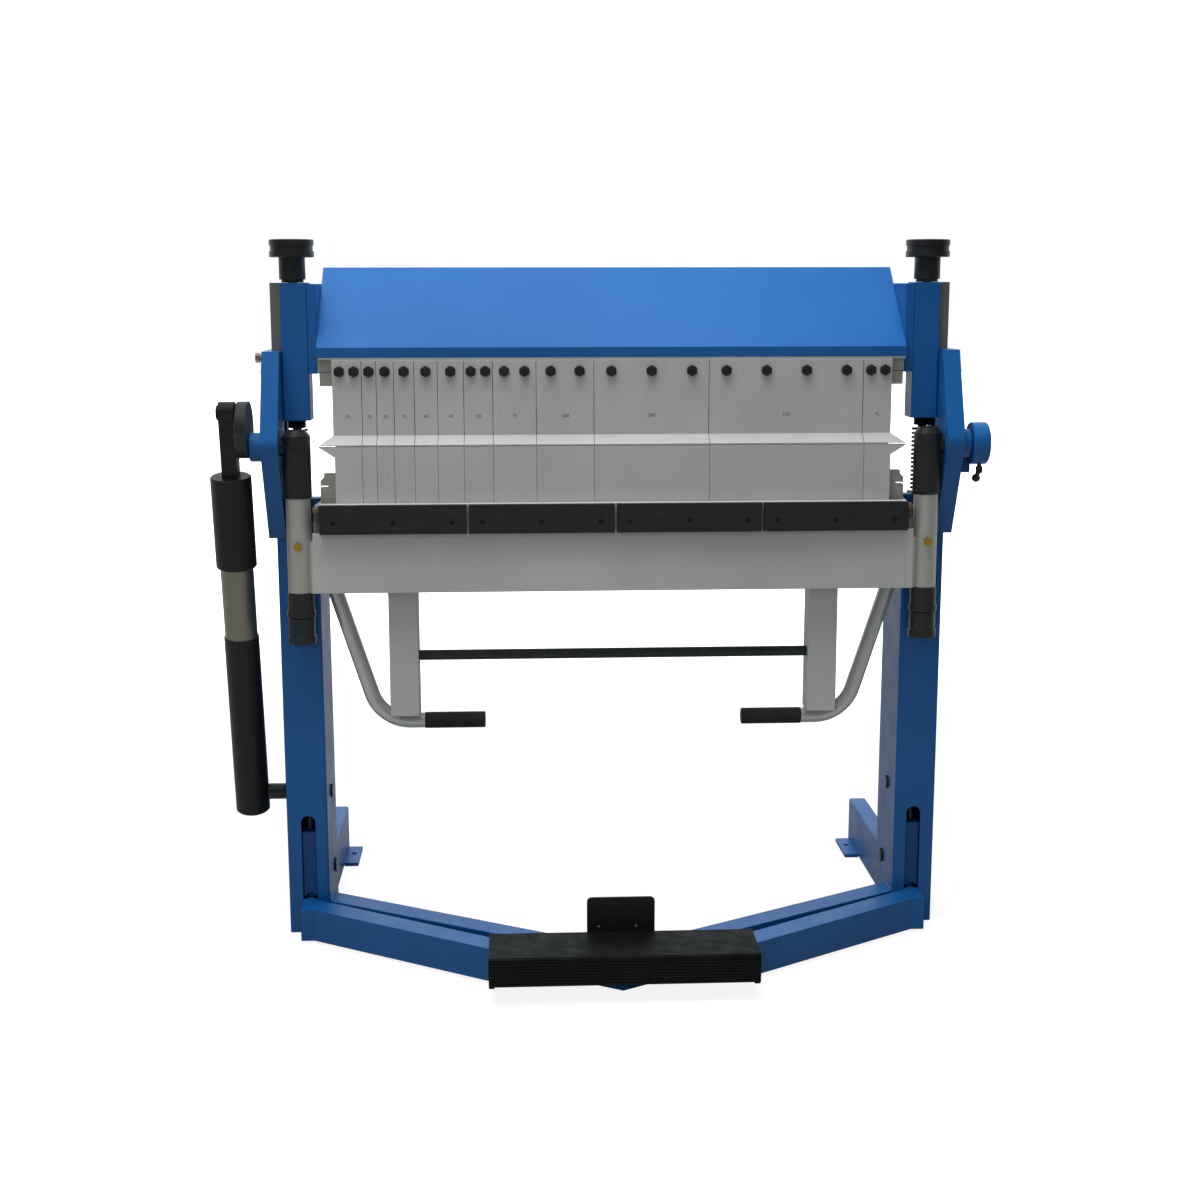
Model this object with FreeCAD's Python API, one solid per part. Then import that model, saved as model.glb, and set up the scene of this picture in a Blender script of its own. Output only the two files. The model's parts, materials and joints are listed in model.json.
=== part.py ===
import FreeCAD, Part
import math
import os
from FreeCAD import Vector

# A floor-standing folding machine for sheet metal, worked by a foot pedal.
# Everything is drawn about the bend line: x to the right, y to the rear, z up, with the
# bend line at y = 0 and z = 0. The last step moves all of it so that the origin lies on
# the floor, midway between the two anchor holes behind the rear feet.

# Clearances
RUN_FIT = 0.05
SEAT_GAP = 0.3
SEGMENT_GAP = 0.2

# Bend line
TOE_HEIGHT = 892.0
SHEET_GAP = 2.2
FLOOR = -TOE_HEIGHT

# Blade segments from the left: widths, numbers of bolts and distances between the bolts
SEGMENT_WIDTHS = (75.0, 25.0, 30.0, 35.0, 40.0, 45.0, 50.0, 75.0, 100.0, 200.0, 270.0, 75.0)
BOLT_COUNTS = (2, 1, 1, 1, 1, 1, 2, 2, 2, 3, 4, 2)
BOLT_PITCHES = (25.0, 0.0, 0.0, 0.0, 0.0, 0.0, 25.0, 35.0, 50.0, 70.0, 70.0, 25.0)
HALF_SPAN = sum(SEGMENT_WIDTHS) / 2

# Upper blades
UPPER_FACE = 21.0
UPPER_THICK = 17.0
UPPER_HIGH = 145.0
TOE_STRIP_HIGH = 16.0
TOE_FLAT = 14.0
TOE_EDGE = 1.2
HEEL_HIGH = 20.0
UPPER_HORN = 24.5
BLADE_BOLT_DOWN = 19.5
BLADE_BOLT_FLATS = 17.0
BLADE_BOLT_HEAD = 7.0
BLADE_BOLT_R = 5.0
UPPER_BACK = UPPER_FACE + UPPER_THICK
UPPER_BOTTOM = SHEET_GAP / 2
UPPER_TOP = UPPER_BOTTOM + UPPER_HIGH

# Lower blades and what carries them
LOWER_THICK = 14.0
LOWER_HIGH = 109.0
LOWER_HORN = 28.0
LOWER_HORN_HIGH = 18.0
LOWER_TOP = -SHEET_GAP / 2
RAIL_DEEP = 18.0
RAIL_HIGH = 32.5
RAIL_SHORT = 0.5
WEDGE_HIGH = 15.0
WEDGE_SHORT = 0.5
WEDGE_CHAMFER = 6.0
WEDGE_STEP_HIGH = 6.0
WEDGE_STEP_SHORT = 7.0
WEDGE_FOOT_HIGH = 3.5
WEDGE_FOOT_SHORT = 14.0
WEDGE_TOP = -48.0

# Posts
POST_GAP = 8.0
POST_WIDE = 73.5
POST_DEEP = 150.0
POST_FRONT = 40.0
POST_WALL = 4.0
POST_EDGE_R = 5.0
POST_TOP = -108.0
SLOT_WIDE = 26.0
SLOT_HIGH = 221.0
ROD_INSET = 35.0
POST_IN = HALF_SPAN + POST_GAP
POST_OUT = POST_IN + POST_WIDE
POST_BACK = POST_FRONT + POST_DEEP
ROD_X = POST_IN + ROD_INSET
ROD_BACK = 30.0
ROD_Y = POST_FRONT + ROD_BACK

# Cap plates on the posts
CAP_THICK = 16.0
CAP_FRONT = 26.0
CAP_BACK = 50.0
CAP_SEAT = 20.0
CAP_OVERHANG = 8.0
CAP_CHAMFER = 17.0
CAP_EDGE = 3.0
CAP_TOP = POST_TOP + CAP_THICK

# Bed between the posts
BED_FRONT = LOWER_THICK + RAIL_DEEP
BED_WALL = 10.0
BED_BOTTOM = -165.0
TABLE_THICK = 13.0

# Feet behind the posts and their anchor tabs
FOOT_WIDE = 35.0
FOOT_HIGH = 93.0
FOOT_LONG = 320.0
FOOT_INSET = 10.0
TAB_WIDE = 28.0
TAB_LONG = 105.0
TAB_THICK = 7.0
TAB_END = 5.0
TAB_HOLE_BACK = 45.0
ANCHOR_R = 6.0
FOOT_IN = POST_IN + FOOT_INSET
FOOT_BACK = POST_BACK + FOOT_LONG
ANCHOR_X = FOOT_IN - TAB_WIDE / 2
ANCHOR_Y = FOOT_BACK - TAB_END - TAB_HOLE_BACK

# Tie bar on the floor, a V that runs forward from post to post
TIE_SLOPE = 0.58
TIE_TIP = -255.0
TIE_ACROSS = 51.0
TIE_HIGH = 50.0
TIE_WALL = 4.0

# Side plates with their guide lips
CHEEK_THICK = 12.5
LIP_THICK = 17.5
PLATE_TOP = 161.0
PLATE_BOTTOM = -163.0
PLATE_TOP_FRONT = 23.0
PLATE_NOSE = -39.0
PLATE_NOSE_Z = 6.0
PLATE_NOSE_R = 22.0
PLATE_BOTTOM_FRONT = 36.0
GUIDE_FRONT = 60.0
GUIDE_DEEP = 40.0
GUIDE_GAP = 0.2
REAR_LIP = 20.0
PLATE_SCREW_DOWN = 12.0
PLATE_SCREW_BACK = 6.0
PLATE_SCREW_FLATS = 14.6
PLATE_SCREW_HEAD = 8.0
PLATE_SCREW_LONG = 16.0
PLATE_SCREW_R = 4.0
CHEEK_OUT = POST_OUT + CHEEK_THICK
LIP_IN = POST_OUT - LIP_THICK

# Slide blocks that carry the upper beam
BLOCK_BOTTOM = 41.0
BLOCK_TOP = 277.0
BLOCK_FRONT = 48.0
BLOCK_INSET = 9.0
BLOCK_IN = POST_IN + BLOCK_INSET
BLOCK_CHAMFER = 2.0
WEAR_THICK = 17.8
WEAR_IN = POST_OUT - GUIDE_GAP - WEAR_THICK
BLOCK_BACK = GUIDE_FRONT + GUIDE_DEEP

# Upper beam, a welded tent of plate
LIP_Y = 30.0
LIP_BOTTOM = 149.5
LIP_HIGH = 17.5
RIDGE_Y = 185.0
RIDGE_Z = 304.0
BEAM_BACK = 197.0
ROOF_THICK = 6.0
ROOF_OVER = 2.0
RIB_COUNT = 3
BAR_DEEP = 26.0
BAR_UPPER_HIGH = 19.5
BAR_LOWER_HIGH = 24.0
BAR_SHORT = 0.5
BAR_LOWER_SHORT = 1.5
STRIP_THICK = 5.0
STRIP_NOSE = 4.0
BAR_TOP = LIP_BOTTOM - STRIP_THICK
ROOF_END = HALF_SPAN + ROOF_OVER
BRACKET_BOTTOM = 122.0
BRACKET_TOP = 275.0
BRACKET_R = 12.0

# Pull rods, springs and adjusting knobs
ROD_R = 8.0
ROD_HOLE_GAP = 1.0
SPRING_R = 16.5
SPRING_WIRE_R = 2.5
SPRING_TURNS = 16
SPRING_END_GAP = 0.6
SPRING_SAMPLES = 24
KNOB_R = 38.25
KNOB_GROOVE_R = 36.5
KNOB_STEM_R = 22.5
KNOB_STEP_R = 19.0
KNOB_STEM_HIGH = 43.0
KNOB_STEP_HIGH = 5.0
KNOB_HIGH = 30.0
KNOB_EDGE = 1.5

# Foot pedal
PIVOT_BACK = 98.0
PIVOT_Y = POST_FRONT + PIVOT_BACK
PIVOT_HIGH = 95.0
PIVOT_Z = FLOOR + PIVOT_HIGH
PIVOT_R = 10.0
LINK_Y = ROD_Y
LINK_DROP = 14.5
LINK_Z = PIVOT_Z - LINK_DROP
LINK_R = 6.0
LINK_SLOT = 5.0
LINK_SLOT_GAP = 0.6
LEVER_WIDE = 24.0
LEVER_PLATE = 11.4
LEVER_FRONT = -16.0
LEVER_CLEAR = 5.0
LEVER_BOTTOM = FLOOR + LEVER_CLEAR
LEVER_HIGH = 58.0
LEVER_BOSS_R = 18.0
ARM_SLOPE = 0.63
ARM_ACROSS = 52.0
ARM_WALL = 4.0
YOKE_HIGH = 188.0
YOKE_TOP = FLOOR + YOKE_HIGH
YOKE_WEB = 6.0
YOKE_GAP = 2.0
YOKE_FRONT = POST_FRONT + POST_WALL + YOKE_GAP
YOKE_DEEP = 42.0
YOKE_BACK = YOKE_FRONT + YOKE_DEEP
YOKE_WEB_GAP = 10.0
BOLT_HIGH = 248.0
BOLT_Z = FLOOR + BOLT_HIGH
BOLT_BACK = 69.0
BOLT_Y = POST_FRONT + BOLT_BACK
BOLT_FLATS = 22.0
BOLT_HEAD = 4.0
BOLT_R = 7.0
PIN_FLATS = 24.0
GUIDE_BLOCK_HIGH = 40.0
TREAD_HALF = 224.5
TREAD_HIGH = 80.0
TREAD_TOP = FLOOR + TREAD_HIGH
TREAD_BACK = -190.0
TREAD_FRONT = -306.0
TREAD_PLATE = 6.0
TREAD_APRON = 48.5
TREAD_CORNER_R = 8.0
TREAD_RIBS = 13
RIB_GROOVE = 1.5
GUSSET_THICK = 10.0
GUSSET_BACK = -160.0
GUSSET_KNEE = -214.0
GUSSET_DROP = 4.5
GUSSET_BACK_DROP = 8.0
TOE_PLATE_WIDE = 116.0
TOE_PLATE_THICK = 4.0
TOE_PLATE_HIGH = 138.0
TOE_PLATE_TOP = FLOOR + TOE_PLATE_HIGH
TOE_PLATE_R = 8.0
TOE_HINGE_Y = -178.0
TOE_HINGE_R = 5.0
TOE_HINGE_LIFT = 8.0
TOE_EAR_INSET = 4.0
TOE_PIN_R = 3.0
TOE_EAR = 6.0

# Sleeves, tubes and spindles at the ends of the bending beam
TUBE_INSET = 29.0
TUBE_X = POST_IN + TUBE_INSET
TUBE_R = 21.5
SLEEVE_R = 24.25
SLEEVE_TOP = 29.0
SLEEVE_BOTTOM = -88.0
SLEEVE_CHAMFER_HIGH = 10.0
SLEEVE_CHAMFER_WIDE = 8.75
SLEEVE_FOOT_CHAMFER = 4.0
BEAM_LIFT = 74.0
BEAM_LIFT_SPARE = 1.0
SLEEVE_CAP = 2.0
TUBE_ENTRY = 4.0
SPINDLE_R = 12.0
SHAFT_R = 15.0
HUB_R = 25.0
HUB_LEFT = 21.0
HUB_RIGHT = 16.0
HUB_CHAMFER = 1.5
NUT_R = 23.0
NUT_FLANGE_R = 24.8
NUT_CHAMFER = 1.5
NUT_EDGE = 1.0
NUT_HEIGHTS = ((32.0, 12.0), (33.0, 14.0))
GRUB_R = 4.0
GRUB_SUNK = 2.0
SPINDLE_SHORT = 3.0

# Bending beam
BEAM_FRONT = -22.0
BEAM_REAR = -2.0
BEAM_TOP = -98.0
BEAM_BOTTOM = -252.0
BEAM_FLANGE = 8.0
BEAM_FACE_STEP = 0.5
BEAM_FLANGE_BACK = 60.0
BEAM_END_SLANT = 11.0
BEAM_END_BACK = 10.0
NOTCH_IN = 1.0
NOTCH_OUT = 12.0
STRIP_HIGH = 49.5
STRIP_DEEP = 15.0
STRIP_COUNT = 4
STRIP_SHORT = 2.0
STRIP_GAP = 4.0
STRIP_SCREW_PITCH = 102.0
STRIP_SCREW_DOWN = 30.0
STRIP_SCREW_R = 5.0
STRIP_SHANK_R = 3.5
STRIP_SCREW_SUNK = 1.0
STRIP_SCREW_DEEP = 10.0
STRIP_SOCKET_R = 3.0
STRIP_SOCKET_DEEP = 4.0
LEG_IN = 346.0
LEG_WIDE = 51.5
LEG_FRONT = 10.0
LEG_DEEP = 50.0
LEG_WALL = 4.0
LEG_SADDLE = 2.0
CROSS_ROD_R = 9.2
CROSS_ROD_Z = -374.0
HANDLE_R = 13.5
HANDLE_TOP_X = 491.7
HANDLE_BEND_X = 415.3
HANDLE_BEND_Z = -493.0
HANDLE_BEND_R = 72.0
HANDLE_FORWARD = 3.0
GRIP_R = 14.5
GRIP_IN = 230.0
GRIP_OUT = 338.3
GRIP_END = 3.0
GRIP_EDGE_R = 2.5
LOCK_Z = -170.0
LOCK_FLATS = 13.5
LOCK_HEAD = 6.0
LOCK_R = 4.0
END_BOLT_R = 5.0
END_BOLT_FLATS = 11.0
END_BOLT_HIGH = 45.0
END_NUT_HIGH = 20.0
END_BOLT_SUNK = 14.0

# Counterbalance strut on the left
CRANK_THICK = 20.0
CRANK_R = 48.7
CRANK_RISE = 29.6
CRANK_CHAMFER = 2.0
CRANK_PIN_Y = -18.0
CRANK_PIN_Z = 60.0
STRUT_FOOT_Y = 100.0
STRUT_FOOT_HIGH = 251.0
STRUT_FOOT_Z = FLOOR + STRUT_FOOT_HIGH
STRUT_OUT = 56.5
STRUT_X = CHEEK_OUT + STRUT_OUT
STRUT_SLEEVE_R = 35.0
STRUT_STEEL_R = 28.5
STRUT_LOWER_R = 30.5
STRUT_BORE_R = 24.0
STRUT_EYE_LONG = 111.0
STRUT_SLEEVE_LONG = 163.5
STRUT_STEEL_SHOWN = 131.0
STRUT_STEEL_HIDDEN = 50.0
STRUT_LENGTH = math.hypot(CRANK_PIN_Y - STRUT_FOOT_Y, CRANK_PIN_Z - STRUT_FOOT_Z)
STRUT_SLEEVE_TOP = STRUT_LENGTH - STRUT_EYE_LONG
STRUT_SLEEVE_BOTTOM = STRUT_SLEEVE_TOP - STRUT_SLEEVE_LONG
STRUT_STEEL_TOP = STRUT_SLEEVE_BOTTOM + STRUT_STEEL_HIDDEN
STRUT_LOWER_TOP = STRUT_SLEEVE_BOTTOM - STRUT_STEEL_SHOWN
STRUT_CAP = 10.0
STRUT_EDGE = 2.0
STRUT_LINER_FIT = 1.0
STRUT_SPIGOT = 30.0
STRUT_TAIL = 33.0
STRUT_DOME = 8.0
STRUT_BLOCK = 30.0
EYE_R = 19.0
EYE_HALF_WIDE = 15.0
EYE_THICK = 27.0
EYE_PIN_R = 8.0
EYE_BOLT_HEAD = 4.0
EYE_BOLT_FLATS = 22.0
EYE_GAP = 1.0
STUB_R = 14.5
STUB_FLANGE_R = 22.0
STUB_FLANGE = 8.0
STUB_PIN_R = 8.0
STUB_PIN_SHORT = 2.0

# Angle stop on the right
COLLAR_R = 36.7
COLLAR_THICK = 29.0
COLLAR_GAP = 1.0
COLLAR_CHAMFER = 2.0
COLLAR_WEB = 1.0
LUG_HIGH = 29.0
LUG_TOP = -26.0
LUG_Y = 40.0
LUG_DEEP = 18.0
LUG_LONG = 27.0
LUG_EDGE_R = 3.0
STOP_STEM_R = 4.0
STOP_BALL_R = 7.5
STOP_REACH = 52.0
STOP_X = 19.5
STOP_HEAD_R = 6.0
STOP_HEAD_DOWN = 4.0
STOP_ARM_R = 4.5
STOP_ARM_TIP_R = 3.5
STOP_ARM_LONG = 18.0
STOP_ARM_DROP = 11.0


def box(x0, x1, y0, y1, z0, z1):
    """Block between two corners."""
    return Part.makeBox(x1 - x0, y1 - y0, z1 - z0, Vector(x0, y0, z0))


def face_through(points):
    """Flat face bounded by straight lines through the points."""
    return Part.Face(Part.makePolygon(points + [points[0]]))


def along_x(outline, x0, x1):
    """Prism of a (y, z) outline between two x positions."""
    return face_through([Vector(x0, y, z) for y, z in outline]).extrude(Vector(x1 - x0, 0, 0))


def along_y(outline, y0, y1):
    """Prism of an (x, z) outline between two y positions."""
    return face_through([Vector(x, y0, z) for x, z in outline]).extrude(Vector(0, y1 - y0, 0))


def along_z(outline, z0, z1):
    """Prism of an (x, y) outline between two heights."""
    return face_through([Vector(x, y, z0) for x, y in outline]).extrude(Vector(0, 0, z1 - z0))


def bar_between(start, end, radius):
    """Round bar from one point to another."""
    return Part.makeCylinder(radius, (end - start).Length, start, end - start)


def hex_along(start, end, flats):
    """Hexagonal bar with the given distance across flats."""
    axis = (end - start).normalize()
    side = Vector(0, 0, 1) if abs(axis.z) < 0.5 else Vector(1, 0, 0)
    other = axis.cross(side)
    radius = flats / math.sqrt(3)
    corners = []
    for k in range(6):
        turn = math.radians(30 + 60 * k)
        corners.append(start + side * (radius * math.sin(turn)) + other * (radius * math.cos(turn)))
    return face_through(corners).extrude(end - start)


def turned_z(profile, x, y):
    """Solid turned about an upright axis from (radius, height) points."""
    face = face_through([Vector(x + radius, y, z) for radius, z in profile])
    return face.revolve(Vector(x, y, 0), Vector(0, 0, 1), 360)


def edges_along(shape, direction, keep=None):
    """Straight edges parallel to a direction, optionally only those whose middle passes a test."""
    found = []
    for edge in shape.Edges:
        if edge.Curve.TypeId != "Part::GeomLine":
            continue
        run = edge.Vertexes[-1].Point - edge.Vertexes[0].Point
        if run.cross(direction).Length > 1e-6 * run.Length:
            continue
        if keep is None or keep(edge.CenterOfMass):
            found.append(edge)
    return found


def fuse_all(shapes):
    """One clean solid out of several that touch or overlap."""
    whole = shapes[0]
    for shape in shapes[1:]:
        whole = whole.fuse(shape)
    return whole.removeSplitter()


def mirrored(shape):
    """The same piece on the other side of the machine."""
    return shape.mirror(Vector(0, 0, 0), Vector(1, 0, 0))


def both_sides(shape):
    """The right-hand piece and its mirror image."""
    return [shape, mirrored(shape)]


# Blade segments

def segment_spans():
    """Left edge, right edge, bolt count and bolt pitch of each segment."""
    spans = []
    left = -HALF_SPAN
    for width, bolts, pitch in zip(SEGMENT_WIDTHS, BOLT_COUNTS, BOLT_PITCHES):
        spans.append((left, left + width, bolts, pitch))
        left += width
    return spans


def trimmed_span(left, right, horn):
    """Edges of a segment's body, without its horn at either end of the row."""
    body_left = left + horn if left <= -HALF_SPAN + SEGMENT_GAP else left
    body_right = right - horn if right >= HALF_SPAN - SEGMENT_GAP else right
    return body_left, body_right


def blade_bolt_spots():
    """Centres of all the bolts along the row of upper blades."""
    spots = []
    for left, right, bolts, pitch in segment_spans():
        body_left, body_right = trimmed_span(left, right, UPPER_HORN)
        middle = (body_left + body_right) / 2
        for k in range(bolts):
            spots.append(middle + (k - (bolts - 1) / 2) * pitch)
    return spots


def segment_outline(left, right, horn, toe, shoulder, far):
    """Front view of a segment: toe edge, slanted horn and straight body."""
    body_left, body_right = trimmed_span(left, right, horn)
    x0 = left + SEGMENT_GAP / 2
    x1 = right - SEGMENT_GAP / 2
    b0 = max(x0, body_left)
    b1 = min(x1, body_right)
    outline = [(x0, toe), (x1, toe)]
    if b1 < x1:
        outline.append((b1, shoulder))
    outline += [(b1, far), (b0, far)]
    if b0 > x0:
        outline.append((b0, shoulder))
    return outline


def upper_blades():
    """Clamping fingers with a bevelled toe strip, a flat sole and a relieved heel."""
    side = [
        (0, UPPER_BOTTOM),
        (TOE_FLAT, UPPER_BOTTOM),
        (UPPER_BACK, UPPER_BOTTOM + HEEL_HIGH),
        (UPPER_BACK, UPPER_TOP),
        (UPPER_FACE, UPPER_TOP),
        (UPPER_FACE, UPPER_BOTTOM + TOE_STRIP_HIGH),
        (0, UPPER_BOTTOM + TOE_EDGE),
    ]
    bolt_z = UPPER_TOP - BLADE_BOLT_DOWN
    blades = []
    for left, right, bolts, pitch in segment_spans():
        bar = along_x(side, left, right)
        shoulder = UPPER_BOTTOM + TOE_STRIP_HIGH
        outline = segment_outline(left, right, UPPER_HORN, UPPER_BOTTOM, shoulder, UPPER_TOP)
        blade = bar.common(along_y(outline, 0, UPPER_BACK))
        for x in blade_bolt_spots():
            if left < x < right:
                hole = bar_between(Vector(x, 0, bolt_z), Vector(x, UPPER_BACK, bolt_z), BLADE_BOLT_R)
                blade = blade.cut(hole)
        blades.append(blade)
    return blades


def lower_blades():
    """Fingers of the lower row, flush with the bend line."""
    blades = []
    for left, right, bolts, pitch in segment_spans():
        shoulder = LOWER_TOP - LOWER_HORN_HIGH
        outline = segment_outline(left, right, LOWER_HORN, LOWER_TOP, shoulder, LOWER_TOP - LOWER_HIGH)
        blades.append(along_y(outline, 0, LOWER_THICK))
    return blades


def blade_bolts():
    """Hexagon bolts that hold the upper blades to the bar behind them."""
    bolts = []
    z = UPPER_TOP - BLADE_BOLT_DOWN
    for x in blade_bolt_spots():
        face = Vector(x, UPPER_FACE, z)
        head = hex_along(Vector(x, UPPER_FACE - BLADE_BOLT_HEAD, z), face, BLADE_BOLT_FLATS)
        shank = bar_between(face, Vector(x, UPPER_BACK, z), BLADE_BOLT_R)
        bolts.append(head.fuse(shank))
    return bolts


# Frame

def post():
    """Hollow right-hand post, closed on top, with the pedal slot in its front wall."""
    shell = box(POST_IN, POST_OUT, POST_FRONT, POST_BACK, FLOOR, POST_TOP)
    shell = shell.makeFillet(POST_EDGE_R, edges_along(shell, Vector(0, 0, 1)))
    w = POST_WALL
    shell = shell.cut(box(POST_IN + w, POST_OUT - w, POST_FRONT + w, POST_BACK - w, FLOOR, POST_TOP - w))
    slot_top = FLOOR + SLOT_HIGH - SLOT_WIDE / 2
    slot = box(ROD_X - SLOT_WIDE / 2, ROD_X + SLOT_WIDE / 2, POST_FRONT, POST_FRONT + w, FLOOR, slot_top)
    arch_start = Vector(ROD_X, POST_FRONT, slot_top)
    arch = bar_between(arch_start, arch_start + Vector(0, w, 0), SLOT_WIDE / 2)
    shell = shell.cut(slot).cut(arch)
    shell = shell.cut(pivot_pin_bar(0))
    rod_top = Vector(ROD_X, ROD_Y, POST_TOP)
    shell = shell.cut(bar_between(rod_top - Vector(0, 0, w), rod_top, ROD_R + ROD_HOLE_GAP))
    bolt_hole = bar_between(Vector(POST_IN, BOLT_Y, BOLT_Z), Vector(POST_IN + w, BOLT_Y, BOLT_Z), BOLT_R)
    return shell.cut(bolt_hole)


def left_post():
    """Left-hand post, which also takes the strut's stub."""
    hole = bar_between(
        Vector(-POST_OUT, STRUT_FOOT_Y, STRUT_FOOT_Z),
        Vector(-POST_OUT + POST_WALL, STRUT_FOOT_Y, STRUT_FOOT_Z),
        STUB_PIN_R,
    )
    return [mirrored(post()).cut(hole)]


def pivot_pin_bar(clearance):
    """Bar through the post on the pedal's pivot line."""
    start = Vector(POST_IN, PIVOT_Y, PIVOT_Z)
    return bar_between(start, Vector(POST_OUT, PIVOT_Y, PIVOT_Z), PIVOT_R + clearance)


def pivot_pins():
    """Pedal pivot pins with a hexagon head on the posts' inner faces."""
    head = hex_along(
        Vector(POST_IN - BOLT_HEAD, PIVOT_Y, PIVOT_Z), Vector(POST_IN, PIVOT_Y, PIVOT_Z), PIN_FLATS
    )
    return both_sides(head.fuse(pivot_pin_bar(0)))


def guide_bolt_bar():
    """Shank of the bolt that holds a rod guide."""
    return bar_between(Vector(POST_IN, BOLT_Y, BOLT_Z), Vector(ROD_X, BOLT_Y, BOLT_Z), BOLT_R)


def guide_bolts():
    """Bolts that hold the rod guides inside the posts."""
    face = Vector(POST_IN, BOLT_Y, BOLT_Z)
    head = hex_along(face - Vector(BOLT_HEAD, 0, 0), face, BOLT_FLATS)
    return both_sides(head.fuse(guide_bolt_bar()))


def rod_guides():
    """Guide blocks that steer the pull rods inside the posts."""
    block = box(
        POST_IN + POST_WALL,
        ROD_X + LEVER_WIDE / 2,
        ROD_Y - 2 * ROD_R,
        BOLT_Y + 2 * BOLT_R,
        BOLT_Z - GUIDE_BLOCK_HIGH / 2,
        BOLT_Z + GUIDE_BLOCK_HIGH / 2,
    )
    bore = bar_between(
        Vector(ROD_X, ROD_Y, BOLT_Z - GUIDE_BLOCK_HIGH),
        Vector(ROD_X, ROD_Y, BOLT_Z + GUIDE_BLOCK_HIGH),
        ROD_R + RUN_FIT,
    )
    return both_sides(block.cut(bore).cut(guide_bolt_bar()))


def rear_feet():
    """Rectangular tubes that run back from the posts, closed at the rear."""
    outer = box(FOOT_IN, FOOT_IN + FOOT_WIDE, POST_BACK, FOOT_BACK, FLOOR, FLOOR + FOOT_HIGH)
    outer = outer.makeFillet(POST_WALL, edges_along(outer, Vector(0, 1, 0)))
    w = POST_WALL
    top = FLOOR + FOOT_HIGH - w
    inner = box(FOOT_IN + w, FOOT_IN + FOOT_WIDE - w, POST_BACK, FOOT_BACK - w, FLOOR + w, top)
    return both_sides(outer.cut(inner))


def anchor_tabs():
    """Drilled tabs on the inner sides of the feet."""
    back = FOOT_BACK - TAB_END
    tab = box(FOOT_IN - TAB_WIDE, FOOT_IN, back - TAB_LONG, back, FLOOR, FLOOR + TAB_THICK)
    foot = Vector(ANCHOR_X, ANCHOR_Y, FLOOR)
    hole = bar_between(foot, foot + Vector(0, 0, TAB_THICK), ANCHOR_R)
    return both_sides(tab.cut(hole))


def tie_outline(front, back, end):
    """Plan of a V between two edges, as far as a given x on both sides."""
    return [
        (0, front),
        (end, front + end * TIE_SLOPE),
        (end, back + end * TIE_SLOPE),
        (0, back),
        (-end, back + end * TIE_SLOPE),
        (-end, front + end * TIE_SLOPE),
    ]


def tie_bar():
    """V of rectangular tube that ties the posts together on the floor."""
    outer = along_z(tie_outline(TIE_TIP, TIE_TIP + TIE_ACROSS, POST_IN), FLOOR, FLOOR + TIE_HIGH)
    wall_across = TIE_WALL * math.hypot(1, TIE_SLOPE)
    inner_plan = tie_outline(TIE_TIP + wall_across, TIE_TIP + TIE_ACROSS - wall_across, POST_IN)
    inner = along_z(inner_plan, FLOOR + TIE_WALL, FLOOR + TIE_HIGH - TIE_WALL)
    return [outer.cut(inner)]


def post_caps():
    """Caps on the fronts of the posts, each with a seat for its spring behind."""
    x0 = POST_IN - CAP_OVERHANG
    outline = [
        (x0, CAP_TOP),
        (POST_OUT, CAP_TOP),
        (POST_OUT, POST_TOP),
        (x0 + CAP_CHAMFER, POST_TOP),
        (x0, CAP_TOP - CAP_EDGE),
    ]
    plate = along_y(outline, CAP_FRONT, CAP_BACK)
    seat = box(ROD_X - CAP_SEAT, POST_OUT, CAP_BACK, ROD_Y + CAP_SEAT, POST_TOP, CAP_TOP)
    room = box(LIP_IN - SEAT_GAP, POST_OUT, CAP_FRONT, POST_FRONT, POST_TOP, CAP_TOP)
    hole = bar_between(
        Vector(ROD_X, ROD_Y, POST_TOP), Vector(ROD_X, ROD_Y, CAP_TOP), ROD_R + ROD_HOLE_GAP
    )
    return both_sides(fuse_all([plate, seat]).cut(room).cut(hole))


def plate_outline(back):
    """Side view of a side plate: slanted above and below a rounded nose."""
    return [
        (PLATE_TOP_FRONT, PLATE_TOP),
        (back, PLATE_TOP),
        (back, PLATE_BOTTOM),
        (PLATE_BOTTOM_FRONT, PLATE_BOTTOM),
        (PLATE_NOSE, PLATE_NOSE_Z),
    ]


def side_plate():
    """Right-hand side plate: cheek, thick nose and the two lips that guide the slide block."""
    cheek = along_x(plate_outline(POST_BACK), POST_OUT, CHEEK_OUT)
    lip = along_x(plate_outline(GUIDE_FRONT - GUIDE_GAP), LIP_IN, POST_OUT)
    below = box(LIP_IN, POST_OUT, POST_FRONT - SEAT_GAP, POST_BACK, PLATE_BOTTOM, CAP_TOP + SEAT_GAP)
    rear_start = GUIDE_FRONT + GUIDE_DEEP + GUIDE_GAP
    rear = box(LIP_IN, POST_OUT, rear_start, rear_start + REAR_LIP, CAP_TOP, PLATE_TOP)
    plate = fuse_all([cheek, lip.cut(below), rear])
    nose = edges_along(plate, Vector(1, 0, 0), lambda p: p.y < PLATE_NOSE + 1)
    plate = plate.makeFillet(PLATE_NOSE_R, nose)
    bore = bar_between(Vector(LIP_IN, 0, 0), Vector(CHEEK_OUT, 0, 0), SHAFT_R + RUN_FIT)
    return plate.cut(bore)


def hub(length):
    """Bearing hub on the outside of a side plate."""
    outer = bar_between(Vector(CHEEK_OUT, 0, 0), Vector(CHEEK_OUT + length, 0, 0), HUB_R)
    rims = [edge for edge in outer.Edges if edge.Closed and edge.CenterOfMass.x > CHEEK_OUT + length / 2]
    ring = outer.makeChamfer(HUB_CHAMFER, rims)
    bore = bar_between(Vector(CHEEK_OUT, 0, 0), Vector(CHEEK_OUT + length, 0, 0), SHAFT_R + RUN_FIT)
    return ring.cut(bore)


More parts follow.
